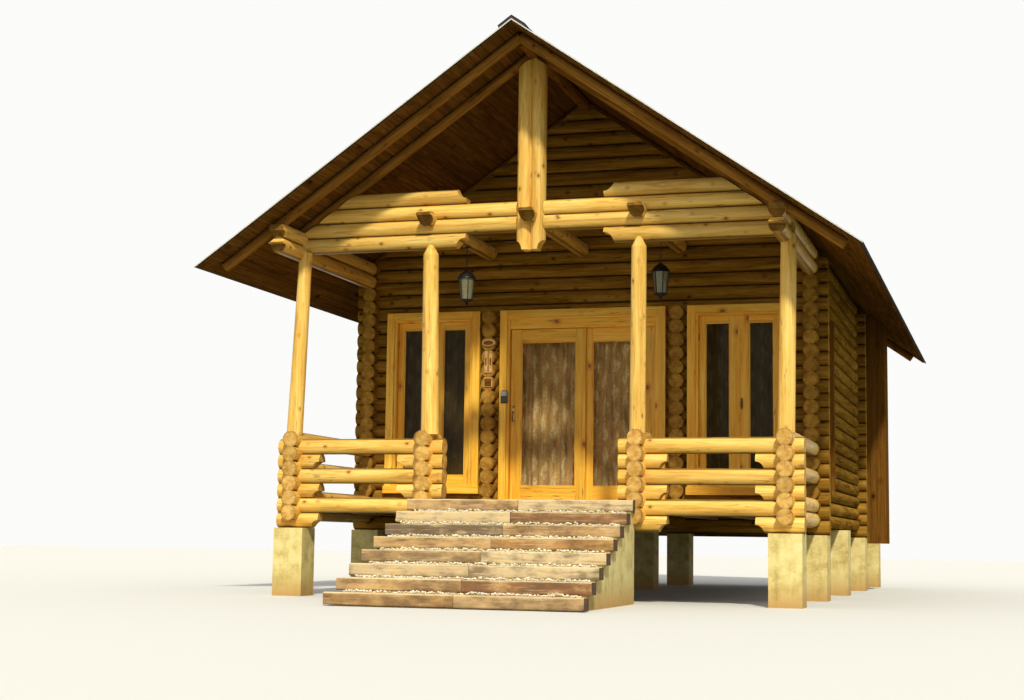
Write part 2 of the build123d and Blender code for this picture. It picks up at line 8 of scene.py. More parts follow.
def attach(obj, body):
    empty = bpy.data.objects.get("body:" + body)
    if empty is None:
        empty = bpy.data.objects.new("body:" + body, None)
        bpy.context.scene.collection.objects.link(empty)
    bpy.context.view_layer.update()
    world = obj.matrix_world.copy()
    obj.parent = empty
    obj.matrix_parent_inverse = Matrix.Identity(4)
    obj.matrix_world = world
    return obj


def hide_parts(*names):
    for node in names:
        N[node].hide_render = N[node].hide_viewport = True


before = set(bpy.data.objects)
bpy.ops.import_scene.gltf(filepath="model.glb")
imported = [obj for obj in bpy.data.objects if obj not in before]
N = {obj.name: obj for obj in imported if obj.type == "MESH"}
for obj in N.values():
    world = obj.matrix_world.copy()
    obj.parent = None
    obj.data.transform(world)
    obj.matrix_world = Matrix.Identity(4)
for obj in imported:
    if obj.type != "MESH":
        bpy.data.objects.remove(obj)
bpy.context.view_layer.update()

scene = bpy.context.scene
scene.view_settings.view_transform = "Standard"
scene.view_settings.look = "None"
random.seed(7)

# Measures shared with the CAD, in metres; y is counted from the porch posts
SHIFT = 3.9025
PITCH, LOG_R = 0.160, 0.088
CLEAR_R = LOG_R + 0.002  # where floor boards stop beside a log centreline
CROSS_Z, LONG_Z = 0.025, 0.105
WALL_X, FRONT_Y, CROSS_Y, REAR_Y = 2.7, 2.23, 7.0, 9.3
POST_X, STACK_X = 1.17, 1.145
RIDGE_Z, SLOPE, EAVE_X = 6.017, 0.6987, 3.56
SEC = math.sqrt(1 + SLOPE ** 2)
ROOF_FRONT, ROOF_REAR = -0.92, 10.2
COVER_H, BOARD_H = 0.018 / SEC, 0.020 / SEC
FLOOR_Z, FLOOR_T = 1.06, 0.16
RISER, GOING, STEPS = 0.1325, 0.3, 8
STEP_X, STEP_HALF, STEP_GROW = -0.05, 1.225, 0.005
SLEEPER_W, SLEEPER_T = 0.19, 0.124
DOOR_HALF, DOOR_TOP, LEAF_IN, LEAF_TOP = 1.015, 3.39, 0.893, 3.165
CASE_IN, HEAD_Z, RAIL_Z, RUN = 0.926, 3.28, 1.075, 0.006  # RUN is the running gap of the sliding leaf
LEAF_Y, FIXED_Y, LEAF_T = 2.15, 2.20, 0.04
HAIR = 0.0005  # between boards that meet
GLASS_LOW, GLASS_TOP = 1.275, 3.004
FACE_Y, JAMB_Y, LINING_Y = 2.085, 2.17, 2.318  # door casing from front to back, back of its lining
WIN_MID, WIN_LOW, WIN_HALF = 1.87, 1.18, 0.6
FRAME_OUT, FRAME_IN = 0.5055, 0.4695  # half widths of the window frame and of its opening
SASH_LOW, SASH_TOP = 1.298, 3.273
PANE_LOW, PANE_TOP, PANE_IN, PANE_OUT = 1.400, 3.190, 0.110, 0.400
CLOSET_X, CLOSET_Y, CLOSET_LOW = (2.72, 3.12), (7.375, 7.975), 0.66
LAMP_X, LAMP_Y, LAMP_LOW, LAMP_HIGH = 1.145, 1.18, 3.400, 3.640
BEAM_Z = LONG_Z + 25 * PITCH  # centre of the porch beams
MID_STACK = 1.157  # between POST_X and STACK_X, for the log ends at both
FLAT, UPRIGHT, METAL = 0, 2, 3  # joinery slots: boards along X, boards along Z, metal


def srgb(*screen):
    """Linear colour of a screen colour from 0 to 255."""
    parts = [c / 255 for c in screen]
    return tuple(c / 12.92 if c <= 0.04045 else ((c + 0.055) / 1.055) ** 2.4 for c in parts) + (1,)


class Shader:
    """One node material under construction."""

    def __init__(self, name, rough=0.6, metal=0.0, coat=0.0, shine=0.5):
        self.mat = bpy.data.materials.new(name)
        self.mat.use_nodes = True
        self.tree = self.mat.node_tree
        self.base = self.tree.nodes["Principled BSDF"]
        for key, value in (("Roughness", rough), ("Metallic", metal), ("Specular IOR Level", shine),
                           ("Coat Weight", coat), ("Coat Roughness", 0.35)):
            self.base.inputs[key].default_value = value

    def put(self, sock, value):
        if isinstance(value, bpy.types.NodeSocket):
            self.tree.links.new(value, sock)
        else:
            sock.default_value = value

    def node(self, kind, *values):
        """New node with its first inputs set."""
        n = self.tree.nodes.new("ShaderNode" + kind)
        for sock, value in zip(n.inputs, values):
            self.put(sock, value)
        return n

    def math(self, op, *args):
        n = self.node("Math", *args)
        n.operation = op
        return n.outputs[0]

    def sum(self, *args):
        total = args[0]
        for a in args[1:]:
            total = self.math("ADD", total, a)
        return total

    def mul(self, a, b):
        return self.math("MULTIPLY", a, b)

    def xyz(self):
        return tuple(self.node("SeparateXYZ", self.node("TexCoord").outputs["Object"]).outputs)

    def vec(self, x, y, z):
        return self.node("CombineXYZ", x, y, z).outputs[0]

    def noise(self, vec, scale=1.0, detail=4.0, rough=0.55, dist=0.0):
        n = self.node("TexNoise", vec)
        for key, value in (("Scale", scale), ("Detail", detail), ("Roughness", rough), ("Distortion", dist)):
            n.inputs[key].default_value = value
        return n.outputs[0]

    def cells(self, vec, scale):
        """Distance to the nearest of many scattered points."""
        n = self.node("TexVoronoi", vec)
        n.inputs["Scale"].default_value = scale
        return n.outputs["Distance"]

    def white(self, vec):
        """Random number of each place."""
        return self.node("TexWhiteNoise", vec).outputs["Value"]

    def span(self, value, a, b, c=0.0, d=1.0):
        """The stretch from a to b mapped to that from c to d, and held at its ends."""
        return self.node("MapRange", value, a, b, c, d).outputs[0]

    def thread(self, value, width):
        """1 along the thin lines where a noise passes one half, 0 away from them."""
        return self.span(self.math("ABSOLUTE", self.math("SUBTRACT", value, 0.5)), 0.0, width, 1.0, 0.0)

    def dim(self, colour, level):
        """The colour times a grey level."""
        return self.mix(1.0, colour, self.vec(level, level, level), "MULTIPLY")

    def mix(self, fac, a, b, kind="MIX"):
        n = self.node("Mix", fac)
        n.data_type, n.blend_type = "RGBA", kind
        self.put(n.inputs[6], a)
        self.put(n.inputs[7], b)
        return n.outputs[2]

    def ramp(self, value, *stops):
        n = self.node("ValToRGB", value)
        e = n.color_ramp.elements
        while len(e) < len(stops):
            e.new(0.5)
        for item, (at, colour) in zip(e, stops):
            item.position = at
            item.color = colour
        return n.outputs[0]

    def tint(self):
        """Random number of each board, kept on the mesh."""
        n = self.node("Attribute")
        n.attribute_name = "tint"
        return n.outputs["Fac"]

    def bump(self, height, strength=0.3, distance=0.003):
        n = self.node("Bump")
        n.inputs["Strength"].default_value = strength
        n.inputs["Distance"].default_value = distance
        self.put(n.inputs["Height"], height)
        self.put(self.base.inputs["Normal"], n.outputs[0])

    def finish(self, colour, rough=None):
        self.put(self.base.inputs["Base Color"], colour)
        if rough is not None:
            self.put(self.base.inputs["Roughness"], rough)
        return self.mat


def grained(s, along, a, b, rnd, colours, knots=7.0, knot_size=1.0, fine=130.0, streak=17.0):
    """Wood colour, height and grain value for fibres that run along one coordinate."""
    light, mid, dark = (srgb(*c) for c in colours)
    shift = s.mul(rnd, 43.0)
    broad = s.noise(s.vec(s.sum(s.mul(along, 0.7), shift), s.mul(a, 3.0), s.mul(b, 3.0)), 1.0, 2.0)
    grain = s.noise(s.vec(s.sum(s.mul(along, 1.1), shift), s.mul(a, streak), s.mul(b, streak)), 1.0, 6.0, 0.62, 0.9)
    fibre = s.noise(s.vec(s.sum(s.mul(along, 7.0), shift), s.mul(a, fine), s.mul(b, fine)), 1.0, 3.0)
    check = s.noise(s.vec(s.sum(s.mul(along, 0.8), shift), s.mul(a, 26.0), s.mul(b, 26.0)), 1.0, 1.5)
    value = s.sum(s.mul(grain, 0.62), s.mul(fibre, 0.2), s.mul(broad, 0.22))
    colour = s.ramp(value, (0.34, dark), (0.5, mid), (0.66, light))
    spot = s.cells(s.vec(s.sum(s.mul(along, 0.72), shift), a, b), knots)
    ring = s.math("SINE", s.mul(spot, 95.0))
    halo = s.span(spot, 0.24 * knot_size, 0.07 * knot_size, 0.0, 0.62)
    core = s.span(s.sum(spot, s.mul(ring, 0.008)), 0.1 * knot_size, 0.065 * knot_size, 0.0, 0.9)
    colour = s.mix(halo, colour, (dark[0] * 0.8, dark[1] * 0.62, dark[2] * 0.5, 1))
    colour = s.mix(core, colour, (dark[0] * 0.5, dark[1] * 0.36, dark[2] * 0.3, 1))
    line = s.mul(s.thread(check, 0.012), s.span(broad, 0.5, 0.58))
    colour = s.mix(s.mul(line, 0.8), colour, srgb(58, 30, 12))
    height = s.sum(s.mul(grain, 0.6), s.mul(fibre, 0.35), s.mul(line, -1.2), s.mul(core, -0.4))
    return colour, height, grain


def courses(s, z, start):
    """Number of the log course at height z, and how far z is from its centre (0) to its joint (1)."""
    number = s.math("ROUND", s.mul(s.math("SUBTRACT", z, start), 1 / PITCH))
    centre = s.sum(s.mul(number, PITCH), start)
    off = s.math("SUBTRACT", z, centre)
    return number, off, s.mul(s.math("ABSOLUTE", off), 2 / PITCH)


def log_wood(name, axis, colours, joints=True, shine=0.3):
    """Peeled and varnished logs along X, Y, Z or down the roof slope (R)."""
    s = Shader(name, coat=shine * 0.2 if shine > 0.1 else 0.0, shine=shine)
    x, y, z = s.xyz()
    edge = None
    if axis == "X":
        along, a, b = x, y, z
        course, _, edge = courses(s, z, CROSS_Z)
        group = s.math("ROUND", s.mul(y, 0.6))
    elif axis == "Y":
        along, a, b = y, x, z
        course, _, edge = courses(s, z, LONG_Z)
        group = s.math("ROUND", x)
    elif axis == "Z":
        along, a, b = z, x, y
        course, group = s.math("ROUND", s.mul(x, 2.2)), s.math("ROUND", s.mul(s.sum(x, -0.02), 7.0))
    else:
        wide = s.math("ABSOLUTE", x)
        along = s.math("SUBTRACT", s.mul(wide, 1 / SEC), s.mul(z, SLOPE / SEC))
        a, b = s.sum(s.mul(wide, SLOPE / SEC), s.mul(z, 1 / SEC)), y
        course, group = s.math("ROUND", s.mul(y, 1.3)), s.math("SIGN", x)
    rnd = s.white(s.vec(course, group, 3.0))
    colour, height, grain = grained(s, along, a, b, rnd, colours)
    colour = s.dim(colour, s.span(s.white(s.vec(group, course, 8.0)), 0.0, 1.0, 0.8, 1.1))
    if joints and edge is not None:
        colour = s.mix(s.span(edge, 0.8, 0.98, 0.0, 0.8), colour, srgb(60, 32, 12))
        height = s.sum(height, s.mul(s.span(edge, 0.93, 1.0), -1.5))
    s.bump(height, 0.45, 0.004)
    return s.finish(colour, s.span(grain, 0.3, 0.7, 0.62, 0.4))


def end_grain(name, axis, light, dark):
    """Sawn log ends with rings, drying cracks and a darker rim."""
    s = Shader(name, shine=0.0)
    x, y, z = s.xyz()

    def stack(value, *steps):
        """Middle of the log stack at a place; each step adds its size past its edge."""
        return s.sum(*(s.mul(s.math("GREATER_THAN", value, edge), size) for edge, size in steps))

    if axis == "Y":
        number, v, _ = courses(s, z, LONG_Z)
        place = s.math("ABSOLUTE", x)
        centre = stack(place, (0.6, MID_STACK), (1.93, WALL_X - MID_STACK))
    else:
        number, v, _ = courses(s, z, CROSS_Z)
        place = y
        centre = s.sum(stack(y, (-2.8, FRONT_Y), (0.7, CROSS_Y - FRONT_Y), (4.2, REAR_Y - CROSS_Y)), -SHIFT)
    u, side = s.math("SUBTRACT", place, centre), s.math("SIGN", x)
    rnd = s.white(s.vec(number, centre, side))
    wob = s.noise(s.vec(s.sum(u, rnd), v, rnd), 22.0, 2.0)
    r = s.math("SQRT", s.sum(s.mul(u, u), s.mul(v, v), 0.00001))
    rr = s.sum(r, s.mul(wob, 0.02))
    rings = s.math("SINE", s.mul(rr, 820.0))
    blotch = s.noise(s.vec(s.sum(u, rnd), v, number), 14.0, 4.0)
    colour = s.ramp(s.sum(s.mul(rings, 0.1), s.mul(blotch, 0.9), 0.03), (0.3, srgb(*dark)), (0.62, srgb(*light)))
    split = s.noise(s.vec(s.math("DIVIDE", u, r), s.math("DIVIDE", v, r), s.mul(rnd, 19.0)), 1.7, 3.0)
    crack = s.mul(s.thread(split, 0.022), s.span(r, 0.008, 0.02))
    colour = s.mix(s.mul(crack, 0.55), colour, srgb(96, 62, 26))
    colour = s.mix(s.span(r, 0.070, 0.087, 0.0, 0.6), colour, srgb(122, 76, 32))
    colour = s.dim(colour, s.span(rnd, 0.0, 1.0, 0.82, 1.08))
    s.bump(s.sum(s.mul(rings, 0.25), s.mul(crack, -1.2), blotch), 0.4, 0.003)
    return s.finish(colour, s.span(blotch, 0.3, 0.7, 0.85, 0.65))


def board_wood(name, axis, colours, knots=3.4, knot_size=0.9, rough=(0.55, 0.4), coat=0.1, tone=(0.86, 1.08),
               fine=150.0, streak=20.0, shine=0.3):
    """Sawn boards; each board's own random number shifts its grain and tone."""
    s = Shader(name, coat=coat, shine=shine)
    x, y, z = s.xyz()
    along, a, b = {"X": (x, y, z), "Y": (y, x, z), "Z": (z, x, y)}[axis]
    rnd = s.tint()
    colour, height, grain = grained(s, along, a, b, rnd, colours, knots, knot_size, fine, streak)
    colour = s.dim(colour, s.span(s.white(s.vec(rnd, rnd, 5.0)), 0.0, 1.0, *tone))
    s.bump(height, 0.4, 0.003)
    return s.finish(colour, s.span(grain, 0.3, 0.7, *rough))


def mineral(name, colours, scale, pore, dirt=None):
    """Concrete or stone: blotches, pores, runs and dirt near the ground."""
    s = Shader(name)
    x, y, z = s.xyz()
    light, mid, dark = (srgb(*c) for c in colours)
    big = s.noise(s.vec(x, y, z), scale, 5.0, 0.6)
    small = s.noise(s.vec(x, y, z), scale * 14, 4.0, 0.6)
    runs = s.noise(s.vec(s.mul(x, 14.0), s.mul(y, 14.0), s.mul(z, 1.1)), 1.0, 4.0)
    holes = s.span(s.cells(s.vec(x, y, z), pore), 0.12, 0.2, 1.0, 0.0)
    blend = s.sum(s.mul(big, 0.55), s.mul(small, 0.25), s.mul(runs, 0.22))
    colour = s.ramp(blend, (0.38, dark), (0.5, mid), (0.62, light))
    colour = s.mix(s.mul(holes, 0.5), colour, dark)
    if dirt:
        low = s.span(s.sum(z, s.mul(big, -0.25)), -0.12, 0.16, 0.75, 0.0)
        colour = s.mix(low, colour, srgb(*dirt))
    s.bump(s.sum(s.mul(small, 0.8), s.mul(big, 0.7), s.mul(holes, -0.8)), 0.5, 0.004)
    return s.finish(colour, s.span(small, 0.3, 0.7, 0.95, 0.8))


def speckled(name, colour, speck, rough, scale=300.0, metal=0.0, amount=0.5, coat=0.0):
    """Paint, plastic, granules or metal with fine variation and worn spots."""
    s = Shader(name, rough, metal, coat)
    x, y, z = s.xyz()
    fine = s.noise(s.vec(x, y, z), scale, 3.0)
    wide = s.noise(s.vec(x, y, z), scale / 30, 3.0)
    c = s.mix(s.span(s.sum(s.mul(fine, 0.6), s.mul(wide, 0.4)), 0.42, 0.62, 0.0, amount), srgb(*colour), srgb(*speck))
    s.bump(fine, 0.25, 0.001)
    return s.finish(c, s.span(wide, 0.3, 0.7, rough - 0.08, rough + 0.1))


def sleeper_shader():
    """Old sleepers: each baulk has its own tone, with stains and a crumbling face, a painted highlight along the worn
    top edge and painted shade low on the face.
    """
    s = Shader("sleeper_wood", 0.9)
    x, y, z = s.xyz()
    rnd = s.tint()
    place = s.vec(s.sum(x, s.mul(rnd, 31.0)), s.mul(y, 1.6), s.mul(z, 2.0))
    tone = s.ramp(rnd, (0.0, srgb(120, 102, 78)), (0.2, srgb(196, 160, 108)), (0.4, srgb(140, 98, 62)),
                  (0.6, srgb(214, 192, 150)), (0.8, srgb(176, 132, 78)), (1.0, srgb(150, 126, 92)))
    stain = s.noise(place, 4.2, 4.0, 0.6)
    fibre = s.vec(s.sum(s.mul(x, 2.2), s.mul(rnd, 31.0)), s.mul(y, 34.0), s.mul(z, 34.0))
    grain = s.noise(fibre, 1.0, 6.0, 0.65, 0.6)
    crumb = s.noise(s.vec(x, y, z), 70.0, 4.0, 0.65)
    pits = s.span(s.cells(s.vec(s.mul(x, 0.6), y, z), 85.0), 0.1, 0.24, 1.0, 0.0)
    c = s.mix(s.span(stain, 0.46, 0.66, 0.0, 0.75), tone, srgb(104, 78, 52))
    c = s.mix(s.span(stain, 0.46, 0.3, 0.0, 0.6), c, srgb(218, 184, 124))
    c = s.mix(s.span(grain, 0.44, 0.3, 0.0, 0.65), c, srgb(74, 54, 36))
    c = s.mix(s.span(grain, 0.54, 0.7, 0.0, 0.5), c, srgb(226, 206, 164))
    c = s.mix(s.mul(pits, s.span(crumb, 0.45, 0.6, 0.0, 0.8)), c, srgb(70, 52, 36))
    # Height within each riser: pale cream along the top edge is a painted highlight, the darker lower face is painted
    # shade
    level = s.mul(s.math("SUBTRACT", z, FLOOR_Z), 1 / RISER)
    level = s.math("SUBTRACT", level, s.math("FLOOR", level))
    c = s.mix(s.mul(s.span(s.sum(level, s.mul(crumb, 0.12)), 0.93, 1.02), 0.8), c, srgb(236, 218, 170))
    c = s.mix(s.mul(s.span(s.sum(level, s.mul(crumb, 0.3)), 0.36, 0.2), 0.5), c, srgb(84, 62, 38))
    s.bump(s.sum(s.mul(grain, 0.8), s.mul(crumb, 0.5), s.mul(pits, -0.5)), 0.7, 0.006)
    return s.finish(c, s.span(crumb, 0.3, 0.7, 0.98, 0.8))


HONEY = ((252, 218, 126), (234, 184, 84), (172, 116, 40))
# Darker copy of the log wood for the walls under the porch roof: painted shade
WALL_SHADE = ((182, 140, 58), (144, 104, 38), (88, 58, 18))
RAFTER = ((186, 134, 60), (146, 98, 40), (94, 58, 22))
JOIN = ((255, 216, 92), (248, 184, 50), (214, 140, 30))
BOARD = ((140, 98, 46), (110, 74, 32), (72, 46, 18))
DECK = ((172, 130, 84), (146, 106, 64), (104, 70, 40))
CLOSET = ((136, 92, 36), (112, 74, 26), (76, 48, 16))
PEBBLE = ((248, 242, 226), (236, 228, 206), (196, 184, 158))
SHINGLE = ((92, 82, 74), (68, 62, 58), (44, 40, 38))
PLAQUE = ((226, 190, 134), (198, 150, 92), (146, 98, 50))


def log_set(name, colours, shine, *ends):
    """Materials of logs along X, Y and Z, then of the log ends that face along X and Y."""
    return [log_wood(f"{name}_log_{a}", a, colours, shine=shine) for a in "XYZ"] + [
        end_grain(f"{name}_end_{a.lower()}", a, *ends) for a in "XY"]


honey = log_set("honey", HONEY, 0.3, (232, 190, 110), (192, 138, 62))
# The walls' logs and ends take the darker copy of the log wood: painted shade
wall = log_set("wall", WALL_SHADE, 0.0, (190, 146, 66), (142, 98, 34))
rafter_mat = log_wood("rafter_log", "R", RAFTER, shine=0.0)
ridge_mat = log_wood("ridge_log", "Y", RAFTER, joints=False, shine=0.0)
joinery = [board_wood(f"joinery_{a}", a, JOIN) for a in "XYZ"]
soffit = board_wood("soffit_board", "Y", BOARD, rough=(0.9, 0.8), coat=0.0, shine=0.0)
closet_mat = [board_wood(f"closet_{a}", a, CLOSET, rough=(0.85, 0.7), coat=0.0, shine=0.0) for a in "XYZ"]
deck_mat = [board_wood(f"deck_{a}", a, DECK, coat=0.05) for a in "XYZ"]
sleeper_mat = [sleeper_shader(), mineral("sleeper_end", ((112, 84, 54), (84, 60, 38), (50, 36, 22)), 16.0, 90.0)]
pier_mat = mineral("pier_concrete", ((242, 224, 158), (226, 204, 130), (184, 160, 94)), 7.0, 55.0, (186, 134, 70))
stair_mat = mineral("stair_concrete", ((244, 232, 168), (228, 212, 146), (192, 174, 112)), 6.0, 70.0, (196, 142, 70))
pebble_mat = board_wood("pebble_stone", "X", PEBBLE, knots=30.0, knot_size=0.3, rough=(0.8, 0.6), coat=0.0,
                        tone=(0.7, 1.1), fine=300.0, streak=60.0)
shingle_mat = board_wood("shingle_granules", "Y", SHINGLE, knots=40.0, knot_size=0.4, rough=(0.98, 0.9), coat=0.0,
                         tone=(0.7, 1.2), fine=600.0, streak=300.0)
edge_mat = speckled("edge_metal", (214, 212, 204), (168, 160, 146), 0.4, 60.0, amount=0.6)
black_mat = speckled("black_metal", (26, 25, 24), (58, 50, 42), 0.45, 220.0, metal=0.3, amount=0.4)
bronze_mat = speckled("bronze_metal", (88, 66, 38), (48, 36, 24), 0.4, 260.0, metal=0.7)
grey_mat = speckled("device_grey", (158, 164, 166), (128, 132, 134), 0.45, 400.0)
dark_mat = speckled("device_dark", (18, 19, 20), (34, 35, 38), 0.3, 400.0, amount=0.3, coat=0.2)
plate_mat = board_wood("plaque_wood", "X", PLAQUE, knots=30.0, knot_size=0.2)
brass_mat = speckled("brass_metal", (206, 158, 78), (150, 106, 44), 0.35, 260.0, metal=0.5)


def clear_pane(name, colour, alpha):
    """Window glass: reflects, and shows what is behind it."""
    s = Shader(name, 0.04)
    x, y, z = s.xyz()
    haze = s.noise(s.vec(x, y, z), 3.0, 4.0)
    s.base.inputs["Alpha"].default_value = alpha
    s.base.inputs["Specular IOR Level"].default_value = 0.12
    s.bump(s.noise(s.vec(x, y, z), 1.6, 1.0), 0.03, 0.01)
    return s.finish(s.mix(s.mul(haze, 0.4), srgb(*colour), srgb(84, 76, 44)), s.span(haze, 0.3, 0.7, 0.03, 0.1))


# The window glass is half opaque and dark brown: painted shade over the curtains behind it
window_shade_glass_mat = clear_pane("window_glass_shade", (44, 38, 14), 0.5)
door_glass_mat = clear_pane("door_glass", (84, 70, 38), 0.08)
lamp_mat = speckled("lantern_pane", (128, 126, 92), (92, 88, 60), 0.2, 40.0, amount=0.6)


def curtain_shader():
    """Woven curtain with columns of pale lacy leaves on a brown ground."""
    s = Shader("curtain_cloth", 0.9)
    x, y, z = s.xyz()
    weave = s.sum(s.math("SINE", s.mul(x, 1500.0)), s.math("SINE", s.mul(z, 1500.0)))
    bend = s.noise(s.vec(x, 0.0, z), 5.0, 3.0)
    u = s.mul(s.sum(x, s.mul(bend, 0.16)), 1 / 0.125)
    column = s.math("FLOOR", u)
    v = s.sum(s.mul(z, 1 / 0.31), s.mul(column, 0.41), s.mul(bend, 0.9))
    du = s.math("SUBTRACT", s.math("SUBTRACT", u, column), 0.5)
    dv = s.math("SUBTRACT", s.math("SUBTRACT", v, s.math("FLOOR", v)), 0.5)
    away = s.sum(s.mul(s.math("ABSOLUTE", du), 2.3), s.mul(s.math("ABSOLUTE", dv), 2.1), s.mul(s.mul(du, du), 3.0))
    vein = s.noise(s.vec(s.mul(x, 1.5), 0.0, z), 30.0, 4.0, 0.75)
    leaf = s.mul(s.span(away, 0.6, 1.05, 1.0, 0.0), s.span(vein, 0.38, 0.5))
    figure = s.math("MAXIMUM", s.mul(s.span(vein, 0.52, 0.62), 0.6), leaf)
    c = s.mix(figure, srgb(212, 168, 98), srgb(255, 236, 164))
    c = s.mix(s.span(s.noise(s.vec(x, 0.0, z), 2.5, 2.0), 0.35, 0.65, 0.0, 0.4), c, srgb(150, 116, 62))
    # Darker vertical streaks: painted shade in the folds
    c = s.mix(s.span(s.noise(s.vec(x, 0.0, s.mul(z, 0.15)), 17.0, 2.0), 0.5, 0.66, 0.0, 0.6), c, srgb(112, 84, 44))
    s.base.inputs["Sheen Weight"].default_value = 0.3
    s.bump(s.sum(s.mul(weave, 0.15), s.mul(figure, 0.5)), 0.3, 0.002)
    return s.finish(c, s.span(vein, 0.3, 0.7, 0.95, 0.82))


curtain_mat = curtain_shader()


def facet_slot(me, p):
    """Which of the materials X, Y, Z, end X, end Y a log facet takes."""
    n, c = p.normal, p.center
    if abs(n.x) > 0.9995 and min(abs(abs(abs(c.x) - k) - LOG_R) for k in (WALL_X, POST_X, STACK_X, 0.02)) > 0.0015:
        return 3
    if abs(n.y) > 0.9995 and min(abs(abs(c.y + SHIFT - k) - LOG_R) for k in (0, FRONT_Y, CROSS_Y, REAR_Y)) > 0.0015:
        return 4
    pts = [me.vertices[i].co for i in p.vertices]
    e = max((b - a for a, b in zip(pts, pts[1:] + pts[:1])), key=lambda v: v.length)
    size = e.length or 1.0
    for k in range(3):
        if abs(e[k]) / size > 0.9:
            return k
    return 0 if abs(n.x) < abs(n.y) else 1


def dress(name, mats, pick=None):
    me = N[name].data
    me.materials.clear()
    for m in mats:
        me.materials.append(m)
    if pick:
        for p in me.polygons:
            p.material_index = pick(me, p)


# Darker end grain for the front and lower faces of the carved tips: painted shade
tip_shade_mat = end_grain("tip_end_shade", "Y", (150, 112, 52), (104, 72, 30))


def tip_slot(me, p):
    """Carved tips' faces that look to the front and downwards take a darker end grain: painted shade."""
    y = p.center.y + SHIFT
    if p.normal.y < -0.12 and p.normal.z < 0.3 and (y < -0.6 or -0.3 < y < -0.09):
        return 5
    return facet_slot(me, p)


for node in ("posts", "king_post"):
    dress(node, honey, lambda me, p: 2)
for node in ("porch_beams", "porch_plates"):
    dress(node, honey + [tip_shade_mat], tip_slot)
for node, mat in (("ridge_beam", ridge_mat), ("piers", pier_mat), ("stair_base", stair_mat), ("drip_edge", edge_mat),
                  ("curtain_rail", bronze_mat), ("rafters_left", rafter_mat), ("rafters_right", rafter_mat)):
    dress(node, [mat])
for node in N:
    if node.startswith(("rail_", "truss_", "porch_sill")):
        dress(node, honey, facet_slot)
    elif node.startswith("wall_") and node != "wall_clamps":
        dress(node, wall, facet_slot)
    elif "glass" in node:
        dress(node, [lamp_mat if "lantern" in node else door_glass_mat if "door" in node else window_shade_glass_mat])


def shifted(x, y, z):
    return Vector((x, y - SHIFT, z))


